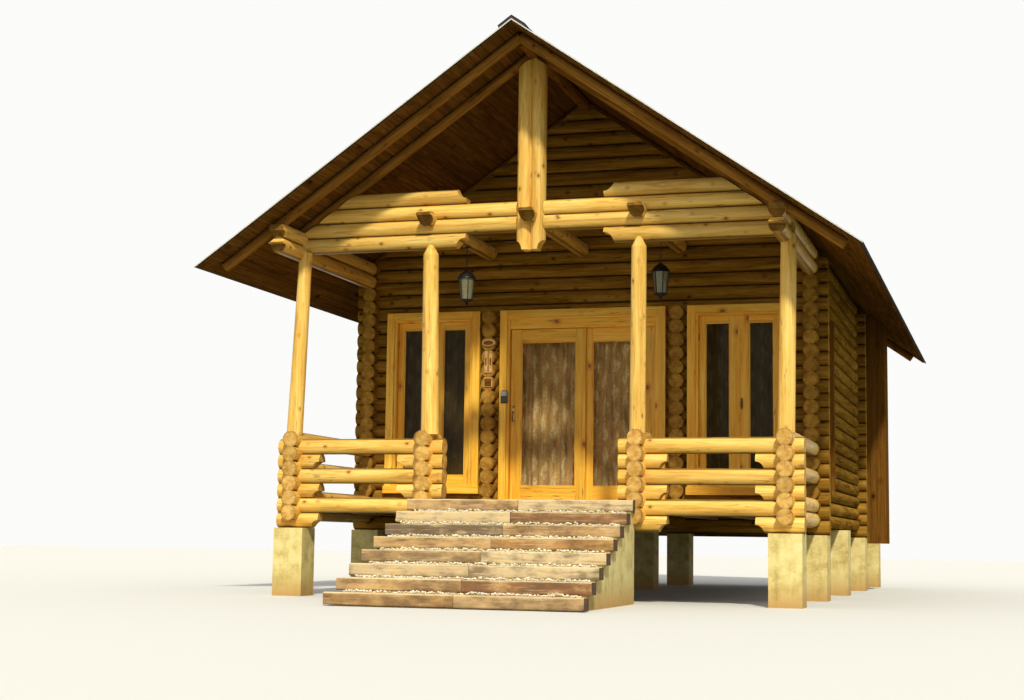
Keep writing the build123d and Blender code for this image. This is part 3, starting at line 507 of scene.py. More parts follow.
class Piece:
    """Collects the vertices, faces, materials and board numbers of one object."""

    def __init__(self, place=shifted):
        self.place, self.verts, self.faces, self.slots, self.tints = place, [], [], [], []

    def add(self, verts, faces, slot=0, tint=None):
        start = len(self.verts)
        tint = random.random() if tint is None else tint
        self.verts += [self.place(*v) for v in verts]
        self.faces += [[start + i for i in f] for f in faces]
        self.slots += [slot] * len(faces)
        self.tints += [tint] * len(faces)

    def board(self, lo, hi, slot=0, ease=0.002):
        """A board with eased edges."""
        lo, hi = [min(a, b) for a, b in zip(lo, hi)], [max(a, b) for a, b in zip(lo, hi)]
        e = min([ease] + [(b - a) / 3 for a, b in zip(lo, hi)])
        verts, index = [], {}
        for s in [(i, j, k) for i in (0, 1) for j in (0, 1) for k in (0, 1)]:
            corner = [hi[d] if s[d] else lo[d] for d in range(3)]
            inner = [hi[d] - e if s[d] else lo[d] + e for d in range(3)]
            for d in range(3):
                index[s, d] = len(verts)
                verts.append([corner[i] if i == d else inner[i] for i in range(3)])
        faces = []
        for d in range(3):
            o, w = [i for i in range(3) if i != d]
            for side in (0, 1):
                ring = []
                for u, v in ((0, 0), (1, 0), (1, 1), (0, 1)):
                    s = [0, 0, 0]
                    s[d], s[o], s[w] = side, u, v
                    ring.append(index[tuple(s), d])
                faces.append(ring)
            for u in (0, 1):
                for v in (0, 1):
                    s0, s1 = [0, 0, 0], [0, 0, 0]
                    s0[d], s1[d] = 0, 1
                    s0[o] = s1[o] = u
                    s0[w] = s1[w] = v
                    s0, s1 = tuple(s0), tuple(s1)
                    faces.append([index[s0, o], index[s1, o], index[s1, w], index[s0, w]])
        faces += [[index[s, 0], index[s, 1], index[s, 2]] for s in {k[0] for k in index}]
        faces.sort()
        self.add(verts, faces, slot)

    def tube(self, path, radius, sides=12, slot=0, closed=False):
        """Round bar along a list of points; radius is a number or one per point."""
        pts = [Vector(p) for p in path]
        radii = radius if isinstance(radius, (list, tuple)) else [radius] * len(pts)
        verts = []
        for i, p in enumerate(pts):
            nxt = pts[(i + 1) % len(pts)] if closed or i + 1 < len(pts) else p
            prev = pts[i - 1] if closed or i else p
            t = (nxt - prev).normalized()
            a = t.cross(Vector((0, 0, 1)) if abs(t.z) < 0.9 else Vector((1, 0, 0))).normalized()
            b = t.cross(a)
            verts += [tuple(p + (a * math.cos(q) + b * math.sin(q)) * radii[i])
                      for q in (math.tau * k / sides for k in range(sides))]
        count = len(pts)
        faces = []
        for i in range(count if closed else count - 1):
            j = (i + 1) % count
            faces += [[i * sides + k, i * sides + (k + 1) % sides, j * sides + (k + 1) % sides, j * sides + k]
                      for k in range(sides)]
        if not closed:
            faces += [list(range(sides))[::-1], [(count - 1) * sides + k for k in range(sides)]]
        self.add(verts, faces, slot)

    def spin(self, centre, profile, sides=24):
        """Turned shape from (radius, height) pairs about a vertical axis."""
        cx, cy = centre
        verts = [(cx + r * math.cos(math.tau * k / sides), cy + r * math.sin(math.tau * k / sides), z)
                 for r, z in profile for k in range(sides)]
        faces = [[i * sides + k, i * sides + (k + 1) % sides, (i + 1) * sides + (k + 1) % sides, (i + 1) * sides + k]
                 for i in range(len(profile) - 1) for k in range(sides)]
        last = (len(profile) - 1) * sides
        faces += [list(range(sides))[::-1], [last + k for k in range(sides)]]
        self.add(verts, faces)

    def build(self, name, mats, slot, body="cabin", replaces=(), smooth=None):
        me = bpy.data.meshes.new(name)
        me.from_pydata([tuple(v) for v in self.verts], [], self.faces)
        me.polygons.foreach_set("material_index", self.slots)
        tint = me.attributes.new("tint", "FLOAT", "FACE")
        tint.data.foreach_set("value", self.tints)
        bm = bmesh.new()
        bm.from_mesh(me)
        bmesh.ops.recalc_face_normals(bm, faces=bm.faces)
        if smooth is not None:
            for f in bm.faces:
                f.smooth = True
            for e in bm.edges:
                e.smooth = len(e.link_faces) == 2 and e.calc_face_angle(0) < smooth
        bm.to_mesh(me)
        bm.free()
        for m in mats:
            me.materials.append(m)
        o = bpy.data.objects.new(name, me)
        scene.collection.objects.link(o)
        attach(o, body)
        if replaces:
            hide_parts(*replaces)
        return o


def slope(side):
    """Place for (distance down the slope, along the building, height over the covering's top)."""
    return lambda u, w, h: shifted(side * (u + h * SLOPE) / SEC, w, RIDGE_Z + (h - u * SLOPE) / SEC)


# Roof: tongue-and-groove boards, felt, shingle tabs and ridge tabs
def cuts(lo, hi, first, step):
    """Butt joints of one row of boards."""
    out, at = [lo], lo + first
    while at < hi - 0.4:
        out.append(at)
        at += step
    return out + [hi]


for side, hand in ((-1, "left"), (1, "right")):
    p = Piece(slope(side))
    length = (EAVE_X - 0.025) * SEC
    rows = 41
    wide = (length - 0.002) / rows
    for i in range(rows):
        joints = cuts(ROOF_FRONT + 0.02, ROOF_REAR - 0.02, (1.45, 3.6, 2.5, 4.1)[i % 4], 3.6)
        for a, b in zip(joints, joints[1:]):
            p.board((0.002 + i * wide + 0.001, a + 0.001, -COVER_H - BOARD_H + 0.0005),
                    (0.002 + (i + 1) * wide - 0.001, b - 0.001, -COVER_H), ease=0.004)
    p.build(f"soffit_boards_{hand}", [soffit], "board_wood", replaces=[f"roof_boards_{hand}"])
    p = Piece(slope(side))
    length = EAVE_X * SEC
    p.board((0.001, ROOF_FRONT + 0.004, -COVER_H + 0.0002), (length - 0.004, ROOF_REAR - 0.004, -COVER_H + 0.003),
            ease=0.001)
    rows, expo, lap = 31, length / 31, 0.06
    for i in range(rows):
        u1 = (i + 1) * expo
        u0 = max(0.001, u1 - expo - lap)
        at = ROOF_FRONT - 0.16 * (i % 2)
        while at < ROOF_REAR:
            w0, w1 = max(ROOF_FRONT, at + 0.002), min(ROOF_REAR, at + 0.318)
            at += 0.32
            if w1 - w0 < 0.02:
                continue
            top, sag = -0.0004 - random.random() * 0.0012, random.uniform(-0.003, 0.0)
            low = u1 + sag if i < rows - 1 else u1
            verts = []
            for head, foot in ((-COVER_H + 0.0040, top - 0.0055), (-COVER_H + 0.0082, top)):
                verts += [(u0, w0, head), (u0, w1, head), (low, w1, foot), (low, w0, foot)]
            p.add(verts, [[0, 3, 2, 1], [4, 5, 6, 7], [0, 1, 5, 4], [2, 3, 7, 6], [1, 2, 6, 5], [3, 0, 4, 7]])
    p.build(f"shingles_{hand}", [shingle_mat], "shingle", replaces=[f"roof_cover_{hand}"])

p = Piece()


def cap_piece(w0, w1, low0, low1, thick, reach):
    """A folded tab over the ridge; low0 and low1 are its undersides over the slope at each end."""
    verts = []
    for w, low in ((w0, low0), (w1, low1)):
        for h in (low, low + thick):
            edge = RIDGE_Z - SLOPE * reach + h
            verts += [(-reach, w, edge), (0, w, RIDGE_Z + h), (reach, w, edge)]
    return verts, [[0, 1, 4, 3], [1, 2, 5, 4], [6, 9, 10, 7], [7, 10, 11, 8], [3, 4, 10, 9], [4, 5, 11, 10],
                   [0, 6, 7, 1], [1, 7, 8, 2], [0, 3, 9, 6], [2, 8, 11, 5]]


p.add(*cap_piece(ROOF_FRONT + 0.003, ROOF_REAR - 0.003, 0.0, 0.0, 0.022, 0.142))
w = ROOF_FRONT
while w < ROOF_REAR - 0.05:
    end = min(w + 0.31, ROOF_REAR)
    p.add(*cap_piece(w, end, 0.0305, 0.0215, 0.007, 0.15 - random.random() * 0.003))
    w += 0.235
p.build("ridge_tabs", [shingle_mat], "shingle", replaces=["ridge_cap"])


# Floors: boards on joists
PLANK_T = 0.028


def floor_rows(p, y0, y1, spans, wide=0.11):
    """Boards along X; spans(y) gives the stretches that a row at y covers."""
    y, i = y0, 0
    while y < y1 - 0.02:
        end = min(y + wide, y1)
        for a, b in spans(y):
            joint = [a] + ([a + (b - a) * (0.38, 0.62)[i % 2]] if b - a > 3 else []) + [b]
            for c, d in zip(joint, joint[1:]):
                p.board((c + 0.001, y + 0.002, FLOOR_Z - PLANK_T), (d - 0.001, end - 0.002, FLOOR_Z), ease=0.003)
        y, i = end, i + 1


IN_X = WALL_X - CLEAR_R


def deck_spans(y):
    """Rows of the stair opening, rows around the stacks beside it, and full rows behind them."""
    if y < 0.09:
        return [(-POST_X + 0.207, POST_X - 0.207)]
    if y < 0.25:
        return [(-IN_X, -POST_X - 0.092), (-POST_X + 0.092, POST_X - 0.092), (POST_X + 0.092, IN_X)]
    return [(-IN_X, IN_X)]


p = Piece()
floor_rows(p, -0.108, 0.09, deck_spans, 0.099)
floor_rows(p, 0.09, 0.252, deck_spans, 0.081)
floor_rows(p, 0.252, FRONT_Y - CLEAR_R, deck_spans)
for x in (-2.56, -2.1, -1.6, -0.85, -0.35, 0.35, 0.85, 1.6, 2.1, 2.56):
    p.board((x - 0.03, 0.26, FLOOR_Z - FLOOR_T), (x + 0.03, FRONT_Y - CLEAR_R, FLOOR_Z - PLANK_T - HAIR), 1)
p.board((-0.9, 0.1, FLOOR_Z - FLOOR_T), (0.9, 0.16, FLOOR_Z - PLANK_T - HAIR))
p.board((-0.9, -0.105, FLOOR_Z - FLOOR_T), (0.9, -0.09, FLOOR_Z - PLANK_T - HAIR))
p.build("deck_boards", deck_mat, "board_wood", replaces=["porch_deck"])
p = Piece()
y0, y1 = FRONT_Y + CLEAR_R, REAR_Y - CLEAR_R
floor_rows(p, y0, y1, lambda y: [(-IN_X, IN_X)], 0.14)
for k in range(11):
    x = -2.55 + 0.51 * k
    p.board((x - 0.035, y0, FLOOR_Z - FLOOR_T), (x + 0.035, y1, FLOOR_Z - PLANK_T - HAIR), 1)
p.build("room_boards", deck_mat, "board_wood", replaces=["house_floor"])


# Closet of upright boards on the right wall
def closet_place(x, y, t):
    """t runs from the foot (0) to the underside of the roof boards (1)."""
    return shifted(x, y, CLOSET_LOW + t * (RIDGE_Z - 0.040 - SLOPE * x - CLOSET_LOW))


p = Piece(closet_place)
(x0, x1), (y0, y1), thick, gap = CLOSET_X, CLOSET_Y, 0.022, 0.001
p.board((x0 + 0.01, y0 + thick, 0.004), (x1 - thick - 0.002, y1 - thick, 0.996), UPRIGHT)
wide = 0.1192
for k in range(5):
    a = y0 + 0.002 + wide * k
    p.board((x1 - thick, a + gap, 0.0), (x1, a + wide - gap, 1.0), UPRIGHT, 0.003)
wide = 0.0945
for k in range(4):
    for y in (y0, y1 - thick):
        p.board((x0 + wide * k + gap, y, 0.0), (x0 + wide * (k + 1) - gap, y + thick, 1.0), UPRIGHT, 0.003)
p.build("closet_boards", closet_mat, "board_wood", replaces=["duct_closet"])


# Windows, drawn once about their own middle with y from the log centreline
def window_boards(p):
    """Casing on the logs, lining in the opening, two sashes with their beads, and the handle."""
    low, top, casing, deep, bead = WIN_LOW, DOOR_TOP, 0.094, 0.088, 0.014
    front, (rim0, rim1), (sash0, sash1), (bead0, bead1) = -0.145, (-0.128, -0.02), (-0.068, -0.022), (-0.056, -0.0435)
    inside = FRAME_IN + 0.0025
    for s in (-1, 1):
        p.board((s * WIN_HALF, front, low), (s * (WIN_HALF - casing), -deep, top), UPRIGHT, 0.003)
        p.board((s * 0.56, -deep, low + 0.041), (s * 0.51, deep, top - 0.041), UPRIGHT)
        p.board((s * FRAME_OUT, rim0, low + 0.09), (s * inside, rim1, top - 0.09), UPRIGHT, 0.003)
        for a, b in ((FRAME_IN, PANE_OUT), (PANE_IN, 0.0035)):
            p.board((s * a, sash0, SASH_LOW), (s * b, sash1, SASH_TOP), UPRIGHT, 0.003)
        for z0, z1 in ((SASH_LOW, PANE_LOW), (PANE_TOP, SASH_TOP)):
            p.board((s * (PANE_OUT - HAIR), sash0 + HAIR, z0), (s * (PANE_IN + HAIR), sash1 - HAIR, z1), FLAT, 0.003)
        for a, b in ((PANE_OUT, PANE_OUT - bead), (PANE_IN + bead, PANE_IN)):
            p.board((s * a, bead0, PANE_LOW), (s * b, bead1, PANE_TOP), UPRIGHT, 0.002)
        for z0, z1 in ((PANE_LOW, PANE_LOW + bead), (PANE_TOP - bead, PANE_TOP)):
            p.board((s * (PANE_OUT - bead), bead0, z0), (s * (PANE_IN + bead), bead1, z1), FLAT, 0.002)
        for z in (1.56, 3.02):
            p.tube([(s * 0.4705, -0.071, z - 0.04), (s * 0.4705, -0.071, z + 0.04)], 0.006, 10, METAL)
    edge = inside - HAIR
    p.board((-FRAME_OUT, front, top - casing), (FRAME_OUT, -deep, top), FLAT, 0.003)
    p.board((-0.612, front - 0.022, low), (0.612, -deep, low + 0.092), FLAT, 0.004)
    p.board((-edge, rim0 + HAIR, top - 0.1235), (edge, rim1 - HAIR, top - casing - HAIR), FLAT, 0.003)
    p.board((-edge, rim0 + HAIR, low + 0.0925), (edge, rim1 - HAIR, low + 0.1155), FLAT, 0.003)
    p.board((-0.51, -deep + HAIR, top - 0.0915), (0.51, deep, top - 0.041), FLAT)
    p.board((-0.51, -deep + HAIR, low + 0.041), (0.51, deep, low + 0.0915), FLAT)
    p.board((-0.014, -0.079, SASH_LOW + 0.004), (0.010, -0.0685, SASH_TOP - 0.004), UPRIGHT, 0.003)
    p.board((0.022, -0.082, 2.19), (0.040, -0.0685, 2.30), METAL, 0.002)
    handle = ((-0.08, 2.26), (-0.108, 2.26), (-0.112, 2.25), (-0.112, 2.17))
    p.tube([(0.031, y, z) for y, z in handle], 0.007, 10, METAL)


for hand, side in (("left", -1), ("right", 1)):
    p = Piece(lambda x, y, z, s=side: shifted(s * WIN_MID + x, FRONT_Y + y, z))
    window_boards(p)
    p.build(f"casement_{hand}", joinery + [bronze_mat], "joinery", replaces=[f"window_front_{hand}"])


# Doorway
p = Piece()
edge, strip = CASE_IN - HAIR, HEAD_Z + 0.018
for s in (-1, 1):
    p.board((s * DOOR_HALF, FACE_Y, FLOOR_Z), (s * CASE_IN, JAMB_Y, DOOR_TOP), UPRIGHT, 0.003)
    p.board((s * DOOR_HALF, JAMB_Y + HAIR, FLOOR_Z), (s * CASE_IN, LINING_Y, DOOR_TOP), UPRIGHT)
    p.board((s * edge, FACE_Y + 0.018, FLOOR_Z), (s * LEAF_IN, LINING_Y, HEAD_Z - HAIR), UPRIGHT, 0.003)
p.board((-edge, FACE_Y, strip), (edge, JAMB_Y, DOOR_TOP), FLAT, 0.003)
p.board((-edge, JAMB_Y + HAIR, HEAD_Z + HAIR), (edge, LINING_Y, DOOR_TOP), FLAT)
p.board((-edge, FACE_Y + 0.018, HEAD_Z + HAIR), (edge, JAMB_Y, strip - HAIR), FLAT, 0.003)
p.board((-LEAF_IN, FACE_Y + 0.03, LEAF_TOP), (LEAF_IN, LINING_Y, HEAD_Z - HAIR), FLAT, 0.003)
p.board((-LEAF_IN, FACE_Y, FLOOR_Z), (LEAF_IN, LINING_Y, RAIL_Z), FLAT, 0.003)
p.board((-LEAF_IN, 2.165, RAIL_Z + 0.0002), (LEAF_IN, 2.175, RAIL_Z + 0.0056), METAL, 0.001)
p.build("doorway_boards", joinery + [bronze_mat], "joinery", replaces=["door_frame"])


def leaf_boards(p, x0, x1, y0, z0, z1, g0, g1):
    """Stiles, rails and glazing beads of one door leaf."""
    y1, bead = y0 + LEAF_T, 0.012
    p.board((x0, y0, z0), (g0, y1, z1), UPRIGHT, 0.003)
    p.board((g1, y0, z0), (x1, y1, z1), UPRIGHT, 0.003)
    for a, b in ((z0, GLASS_LOW), (GLASS_TOP, z1)):
        p.board((g0 + HAIR, y0 + 0.0004, a), (g1 - HAIR, y1 - 0.0004, b), FLAT, 0.003)
    for s, t in ((g0, g0 + bead), (g1 - bead, g1)):
        p.board((s, y0 + 0.004, GLASS_LOW), (t, y0 + 0.0165, GLASS_TOP), UPRIGHT, 0.003)
    for a, b in ((GLASS_LOW, GLASS_LOW + bead), (GLASS_TOP - bead, GLASS_TOP)):
        p.board((g0 + bead, y0 + 0.004, a), (g1 - bead, y0 + 0.0165, b), FLAT, 0.003)


p = Piece()
leaf_boards(p, -LEAF_IN + RUN, 0.04, LEAF_Y, RAIL_Z + RUN, LEAF_TOP - RUN, -0.757, -0.08)
p.build("sliding_leaf", joinery, "joinery", "sliding_door", ["door_leaf"])
p = Piece()
leaf_boards(p, -0.04, LEAF_IN, FIXED_Y, RAIL_Z, LEAF_TOP, 0.112, 0.757)
p.build("fixed_leaf", joinery, "joinery", replaces=["door_fixed_leaf"])

p, x = Piece(), -0.847
p.board((x - 0.015, LEAF_Y - 0.0075, 2.01), (x + 0.015, LEAF_Y, 2.27), 1, 0.003)
p.tube([(x, 2.143, 2.225), (x, 2.136, 2.225)], [0.013, 0.0115], 16)
grip = ((2.143, 2.05), (2.112, 2.052), (2.104, 2.06), (2.102, 2.09), (2.102, 2.13), (2.104, 2.155), (2.112, 2.163),
        (2.143, 2.165))
p.tube([(x, y, z) for y, z in grip], 0.0065, 12)
p.build("leaf_pull", [bronze_mat, brass_mat], "black_metal", "sliding_door", ["door_pull"], 0.7)
p = Piece()
p.board((-0.990, FACE_Y - 0.023, 2.268), (-0.905, FACE_Y, 2.418), 1, 0.008)
p.board((-0.984, 2.053, 2.348), (-0.911, 2.0625, 2.412), 0, 0.006)
p.board((-0.984, 2.056, 2.274), (-0.911, 2.0625, 2.342), 1, 0.006)
p.build("reader_case", [grey_mat, dark_mat], "device_plastic", replaces=["card_reader"])


# Uprights bolted to the side walls
dress("wall_clamps", [closet_mat[2]])
p = Piece()
for side in (-1, 1):
    for z in (1.43, 2.07, 2.71, 3.19):
        x, y = side * 2.845, 3.195
        p.tube([(x - side * 0.001, y, z), (x + side * 0.003, y, z)], 0.024, 20)
        p.tube([(x + side * 0.003, y, z), (x + side * 0.0135, y, z)], 0.0125, 6)
p.build("clamp_bolts", [bronze_mat], "black_metal")


# Curtains: folded sheets under the rail
FOLD = 0.105


def curtain(name, x0, x1, seed):
    rnd = random.Random(seed)
    low, high, y = FLOOR_Z + 0.03, 3.53, FRONT_Y + 0.122
    folds = int((x1 - x0) / FOLD)
    phase = [rnd.uniform(0, math.tau) for _ in range(3)]
    cols, rows = folds * 12, 26
    verts = []
    for j in range(rows + 1):
        t = j / rows
        z = high + (low - high) * t
        for i in range(cols + 1):
            u = i / cols
            amp = 0.016 + 0.011 * t + 0.006 * math.sin(u * 17 + phase[0])
            drift = 1.3 * math.sin(u * 9 + phase[1]) * (0.3 + t)
            wave = math.sin(u * folds * math.tau + drift + 0.4 * math.sin(t * 4 + phase[2]))
            wave = 0.8 * wave + 0.25 * math.sin(u * folds * 2.6 * math.tau + 2.0 * t + phase[0])
            verts.append((x0 + (x1 - x0) * u + 0.006 * math.sin(u * folds * math.tau * 2), y + amp * wave, z))
    faces = [[j * (cols + 1) + i, j * (cols + 1) + i + 1, (j + 1) * (cols + 1) + i + 1, (j + 1) * (cols + 1) + i]
             for j in range(rows) for i in range(cols)]
    p = Piece()
    p.add(verts, faces)
    o = p.build(name, [curtain_mat], "curtain_fabric", replaces=["curtains"], smooth=3.0)


for k, (a, b) in enumerate(((-2.38, -1.37), (-0.85, -0.03), (0.03, 0.85), (1.37, 2.38))):
    curtain(f"curtain_{k + 1}", a, b, 11 + k)


# Lanterns on chains: (radius, height) of the hat over the panes, of the foot under them, and of the rose on the beam
HAT = ((0.0, 0.0), (0.104, 0.0), (0.111, 0.004), (0.109, 0.012), (0.098, 0.024), (0.087, 0.042), (0.073, 0.060),
       (0.052, 0.077), (0.031, 0.089), (0.020, 0.097), (0.016, 0.104), (0.010, 0.109), (0.0, 0.110))
FOOT = ((0.0, 0.0), (0.078, 0.0), (0.080, -0.005), (0.074, -0.011), (0.052, -0.024), (0.030, -0.036), (0.015, -0.048),
        (0.019, -0.060), (0.012, -0.073), (0.003, -0.083), (0.0, -0.083))
ROSE = ((0.0, -0.103), (0.020, -0.103), (0.032, -0.094), (0.034, -0.086), (0.0, -0.083))
LINK = 0.021


def chain_link(x, y, z, turned):
    link = []
    for m in range(12):
        q = math.tau * m / 12
        a, b = 0.0085 * math.cos(q), 0.0145 * math.sin(q)
        link.append((x + (a if turned else 0), y + (0 if turned else a), z + b))
    return link


for hand, x in (("left", -LAMP_X), ("right", LAMP_X)):
    p = Piece()
    y = LAMP_Y
    p.spin((x, y), [(r, LAMP_HIGH + h) for r, h in HAT], 36)
    p.spin((x, y), [(r, LAMP_LOW + h) for r, h in FOOT])
    for k in range(6):
        q = math.tau * k / 6
        bar = ((0.0695, LAMP_LOW - 0.001), (0.0930, LAMP_HIGH + 0.001))
        p.tube([(x + r * math.cos(q), y + r * math.sin(q), z) for r, z in bar], 0.0062, 10)
    z, k = LAMP_HIGH + 0.118, 0
    while z < BEAM_Z - 0.125:
        p.tube(chain_link(x, y, z, k % 2), 0.0026, 6, closed=True)
        z, k = z + LINK, k + 1
    p.tube([(x, y, z - 0.012), (x, y, BEAM_Z - 0.0865)], 0.004, 8)
    p.spin((x, y), [(r, BEAM_Z + h) for r, h in ROSE])
    p.build(f"lantern_{hand}", [black_mat], "black_metal", replaces=["lanterns"], smooth=0.6)


# Plaques on the log ends left of the doorway
p = Piece()
SIGN_X, SIGN_Y = -1.142, 2.0465


def oval(cx, cz, rx, rz, y0, y1, slot=0):
    """Oval plate with a bevelled edge."""
    n = 32
    ring = [(cx + rx * math.cos(q), cz + rz * math.sin(q)) for q in (math.tau * k / n for k in range(n))]
    verts = [(a, y1, b) for a, b in ring] + [(cx + (a - cx) * 0.94, y0, cz + (b - cz) * 0.94) for a, b in ring]
    faces = [[k, (k + 1) % n, n + (k + 1) % n, n + k] for k in range(n)]
    faces += [list(range(n))[::-1], list(range(n, 2 * n))]
    p.add(verts, faces, slot)


oval(SIGN_X, 2.995, 0.086, 0.048, SIGN_Y - 0.016, SIGN_Y)
oval(SIGN_X, 2.995, 0.064, 0.028, SIGN_Y - 0.019, SIGN_Y - 0.0155, 1)
for x in (SIGN_X - 0.029, SIGN_X + 0.029):
    p.board((x - 0.019, SIGN_Y - 0.014, 2.63), (x + 0.019, SIGN_Y, 2.895), 0, 0.004)
    p.board((x - 0.008, SIGN_Y - 0.0165, 2.72), (x + 0.008, SIGN_Y - 0.0135, 2.81), 1, 0.001)
p.board((SIGN_X - 0.054, SIGN_Y - 0.014, 2.455), (SIGN_X + 0.054, SIGN_Y, 2.575), 0, 0.004)
p.board((SIGN_X - 0.042, SIGN_Y - 0.0165, 2.467), (SIGN_X + 0.042, SIGN_Y - 0.0135, 2.563), 1, 0.001)
p.build("door_plaques", [plate_mat, closet_mat[0]], "board_wood")


# Steps: rough sleepers, two to a row, and pebbles in the concrete between the rows
def sleeper(p, x0, x1, y0, z1, seed, tone):
    """One weathered baulk with worn edges, cracked ends and a slightly uneven face."""
    segs, ring = max(8, int((x1 - x0) / 0.03)), []
    w, t, r = SLEEPER_W, SLEEPER_T, 0.012
    for cy, cz, q0 in ((w - r, t - r, 0), (r, t - r, 90), (r, r, 180), (w - r, r, 270)):
        ring += [(cy + r * math.cos(q), cz + r * math.sin(q)) for q in (math.radians(q0 + d) for d in (0, 45, 90))]
    full = []
    for (a, b), (c, d) in zip(ring, ring[1:] + ring[:1]):
        steps = 4 if math.hypot(c - a, d - b) > 0.05 else 1
        full += [(a + (c - a) * k / steps, b + (d - b) * k / steps) for k in range(steps)]
    count, verts = len(full), []
    for i in range(segs + 1):
        x = x0 + (x1 - x0) * i / segs
        for a, b in full:
            v = Vector((x * 2.2 + seed * 9.1, a * 9, b * 9))
            d = noise.fractal(v, 0.9, 2.1, 4) * 0.0045 + noise.noise(Vector((x * 9, a * 34 + seed, b * 34))) * 0.0022
            corner = min(a, w - a) < 0.02 and min(b, t - b) < 0.02
            chip = max(0.0, noise.noise(Vector((x * 6 + seed * 3, a * 3, b * 3))) - 0.15) * 0.02 if corner else 0.0
            cy, cz = a - w / 2, b - t / 2
            size = math.hypot(cy, cz)
            k = 1 - (0.005 - d + chip) / size
            verts.append((x, y0 + w / 2 + cy * k, z1 - t / 2 + cz * k))
    faces = [[i * count + k, i * count + (k + 1) % count, (i + 1) * count + (k + 1) % count, (i + 1) * count + k]
             for i in range(segs) for k in range(count)]
    mid = len(verts)
    verts += [(x0 + 0.003, y0 + w / 2, z1 - t / 2), (x1 - 0.003, y0 + w / 2, z1 - t / 2)]
    p.add(verts, faces, tint=tone)
    start = len(p.verts) - len(verts)
    ends = [[mid, (k + 1) % count, k] for k in range(count)]
    ends += [[mid + 1, segs * count + k, segs * count + (k + 1) % count] for k in range(count)]
    p.faces += [[start + i for i in f] for f in ends]
    p.slots += [1] * len(ends)
    p.tints += [tone] * len(ends)


# Tone of the left and right baulk of each row
TONES = ((0.2, 0.62), (0.62, 0.38), (0.0, 0.26), (0.24, 0.8), (0.95, 0.6), (0.55, 0.58), (0.22, 0.4), (0.84, 0.74))
p = Piece()
for k in range(STEPS):
    y0, z1 = -GOING * (k + 1), FLOOR_Z - RISER * k
    half = STEP_HALF + STEP_GROW * k
    joint = STEP_X + random.uniform(-0.03, 0.03)
    for j, (a, b) in enumerate(((STEP_X - half, joint - 0.002), (joint + 0.002, STEP_X + half))):
        drift = random.uniform(-0.006, 0.004)
        sleeper(p, a, b, y0 + drift, z1 - random.uniform(0, 0.007), k * 3 + j, TONES[k][j])
p.build("sleeper_baulks", sleeper_mat, "sleeper_wood", replaces=["sleepers"], smooth=0.9)

p = Piece()
for k in range(1, STEPS):
    y0, y1, z = -GOING * (k + 1) + SLEEPER_W - 0.03, -GOING * k - 0.008, FLOOR_Z - RISER * k
    for _ in range(290):
        x, y, r = random.uniform(-1.18, 1.13), random.uniform(y0, y1), random.uniform(0.007, 0.015)
        heap = 0.5 + noise.noise(Vector((x * 5, k * 7.0, 0))) + 0.5 * noise.noise(Vector((x * 17, k * 7.0, 4)))
        lift = (0.0 if y < y0 + 0.035 else -0.008) + r * 0.45 + max(0.0, heap) * 0.02 * random.random()
        ico = bmesh.new()
        bmesh.ops.create_icosphere(ico, subdivisions=1, radius=r)
        turn = Matrix.Rotation(random.uniform(0, 6.28), 3, "Z") @ Matrix.Rotation(random.uniform(-0.5, 0.5), 3, "X")
        pts = [turn @ Vector((v.co.x * 1.25, v.co.y, v.co.z * 0.8)) for v in ico.verts]
        p.add([(x + v.x, y + v.y, z + lift + v.z) for v in pts], [[v.index for v in f.verts] for f in ico.faces])
        ico.free()
p.build("step_pebbles", [pebble_mat], "concrete", smooth=3.0)


# Camera fitted to the photograph
cam = bpy.data.objects.new("camera", bpy.data.cameras.new("camera"))
scene.collection.objects.link(cam)
axes = Matrix(((0.95626, 0.2922, 0.01379), (0.02004, -0.11248, 0.99345), (0.29184, -0.94972, -0.11341)))
cam.matrix_world = Matrix.Translation((4.9541, -20.871, 0.63)) @ axes.transposed().to_4x4()
cam.data.sensor_width = 36
cam.data.lens = 58.62
cam.data.shift_x, cam.data.shift_y = 0.0032, 0.0002
cam.data.clip_end = 200
scene.camera = cam


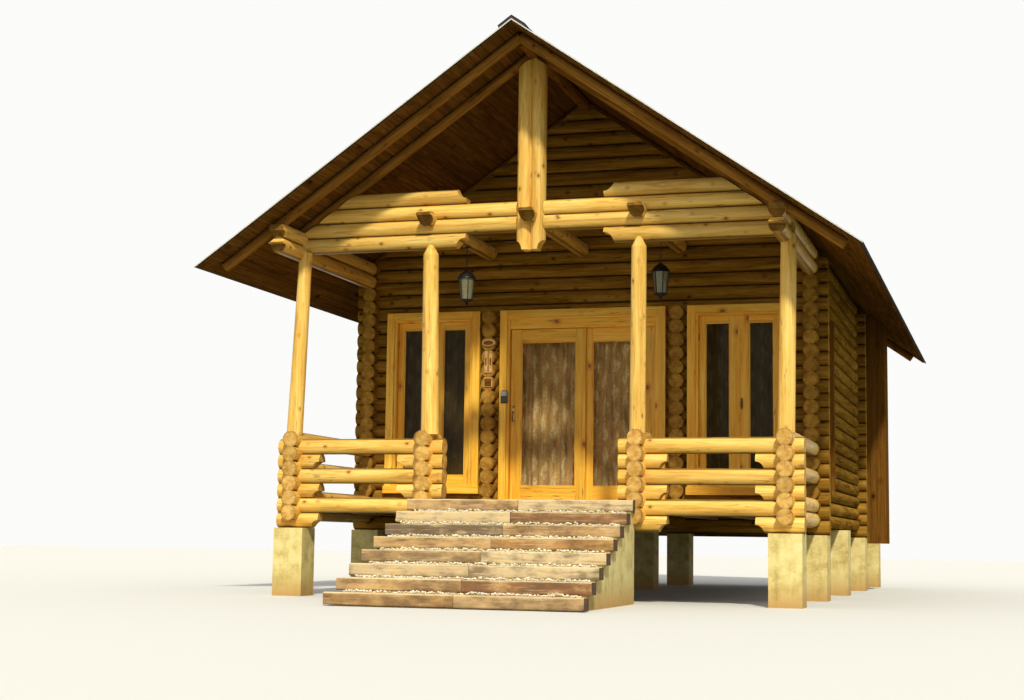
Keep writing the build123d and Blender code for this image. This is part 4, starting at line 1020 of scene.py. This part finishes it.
# Pale floor, a world that is brighter at the front left, and a high sun from the front
def seen_directly(tree, least):
    """1 for camera, glossy and transmission rays, and least for the rays that light the object."""
    ray, seen = tree.nodes.new("ShaderNodeLightPath"), None
    for key in ("Is Camera Ray", "Is Glossy Ray", "Is Transmission Ray"):
        top = tree.nodes.new("ShaderNodeMath")
        top.operation = "MAXIMUM"
        top.inputs[1].default_value = least
        tree.links.new(ray.outputs[key], top.inputs[0])
        if seen:
            tree.links.new(seen, top.inputs[1])
        seen = top.outputs[0]
    return seen


floor_mesh = bpy.data.meshes.new("floor")
floor_mesh.from_pydata([(-60, -60, 0), (60, -60, 0), (60, 60, 0), (-60, 60, 0)], [], [(0, 1, 2, 3)])
floor = bpy.data.objects.new("floor", floor_mesh)
scene.collection.objects.link(floor)
s = Shader("floor", 0.85)
floor.data.materials.append(s.finish(s.mix(seen_directly(s.tree, 0.0), srgb(128, 132, 112), srgb(218, 217, 212))))

world = bpy.data.worlds.new("world")
world.use_nodes = True
sky = world.node_tree
sky.nodes["Background"].inputs["Color"].default_value = (0.93, 0.96, 1.0, 1)
way, fall = sky.nodes.new("ShaderNodeTexCoord"), sky.nodes.new("ShaderNodeVectorMath")
fall.operation = "DOT_PRODUCT"
fall.inputs[1].default_value = (0.8, 0.6, 0.0)
sky.links.new(way.outputs["Generated"], fall.inputs[0])
level = sky.nodes.new("ShaderNodeMapRange")
for sock, v in zip(list(level.inputs)[1:5], (-1.0, 1.0, 0.64, 0.06)):
    sock.default_value = v
sky.links.new(fall.outputs["Value"], level.inputs[0])
sky.links.new(level.outputs[0], sky.nodes["Background"].inputs["Strength"])
plain = sky.nodes.new("ShaderNodeBackground")
plain.inputs["Color"].default_value, plain.inputs["Strength"].default_value = (0.97, 0.97, 0.96, 1), 1.0
blend = sky.nodes.new("ShaderNodeMixShader")
sky.links.new(seen_directly(sky, 0.5), blend.inputs[0])
sky.links.new(sky.nodes["Background"].outputs[0], blend.inputs[1])
sky.links.new(plain.outputs[0], blend.inputs[2])
sky.links.new(blend.outputs[0], sky.nodes["World Output"].inputs[0])
scene.world = world

sun = bpy.data.lights.new("sun", "SUN")
sun.energy, sun.angle, sun.color = 3.4, math.radians(4), (1.0, 0.95, 0.8)
lamp = bpy.data.objects.new("sun", sun)
lamp.rotation_euler = Vector((-0.24, 0.62, -0.62)).to_track_quat("-Z", "Y").to_euler()
scene.collection.objects.link(lamp)
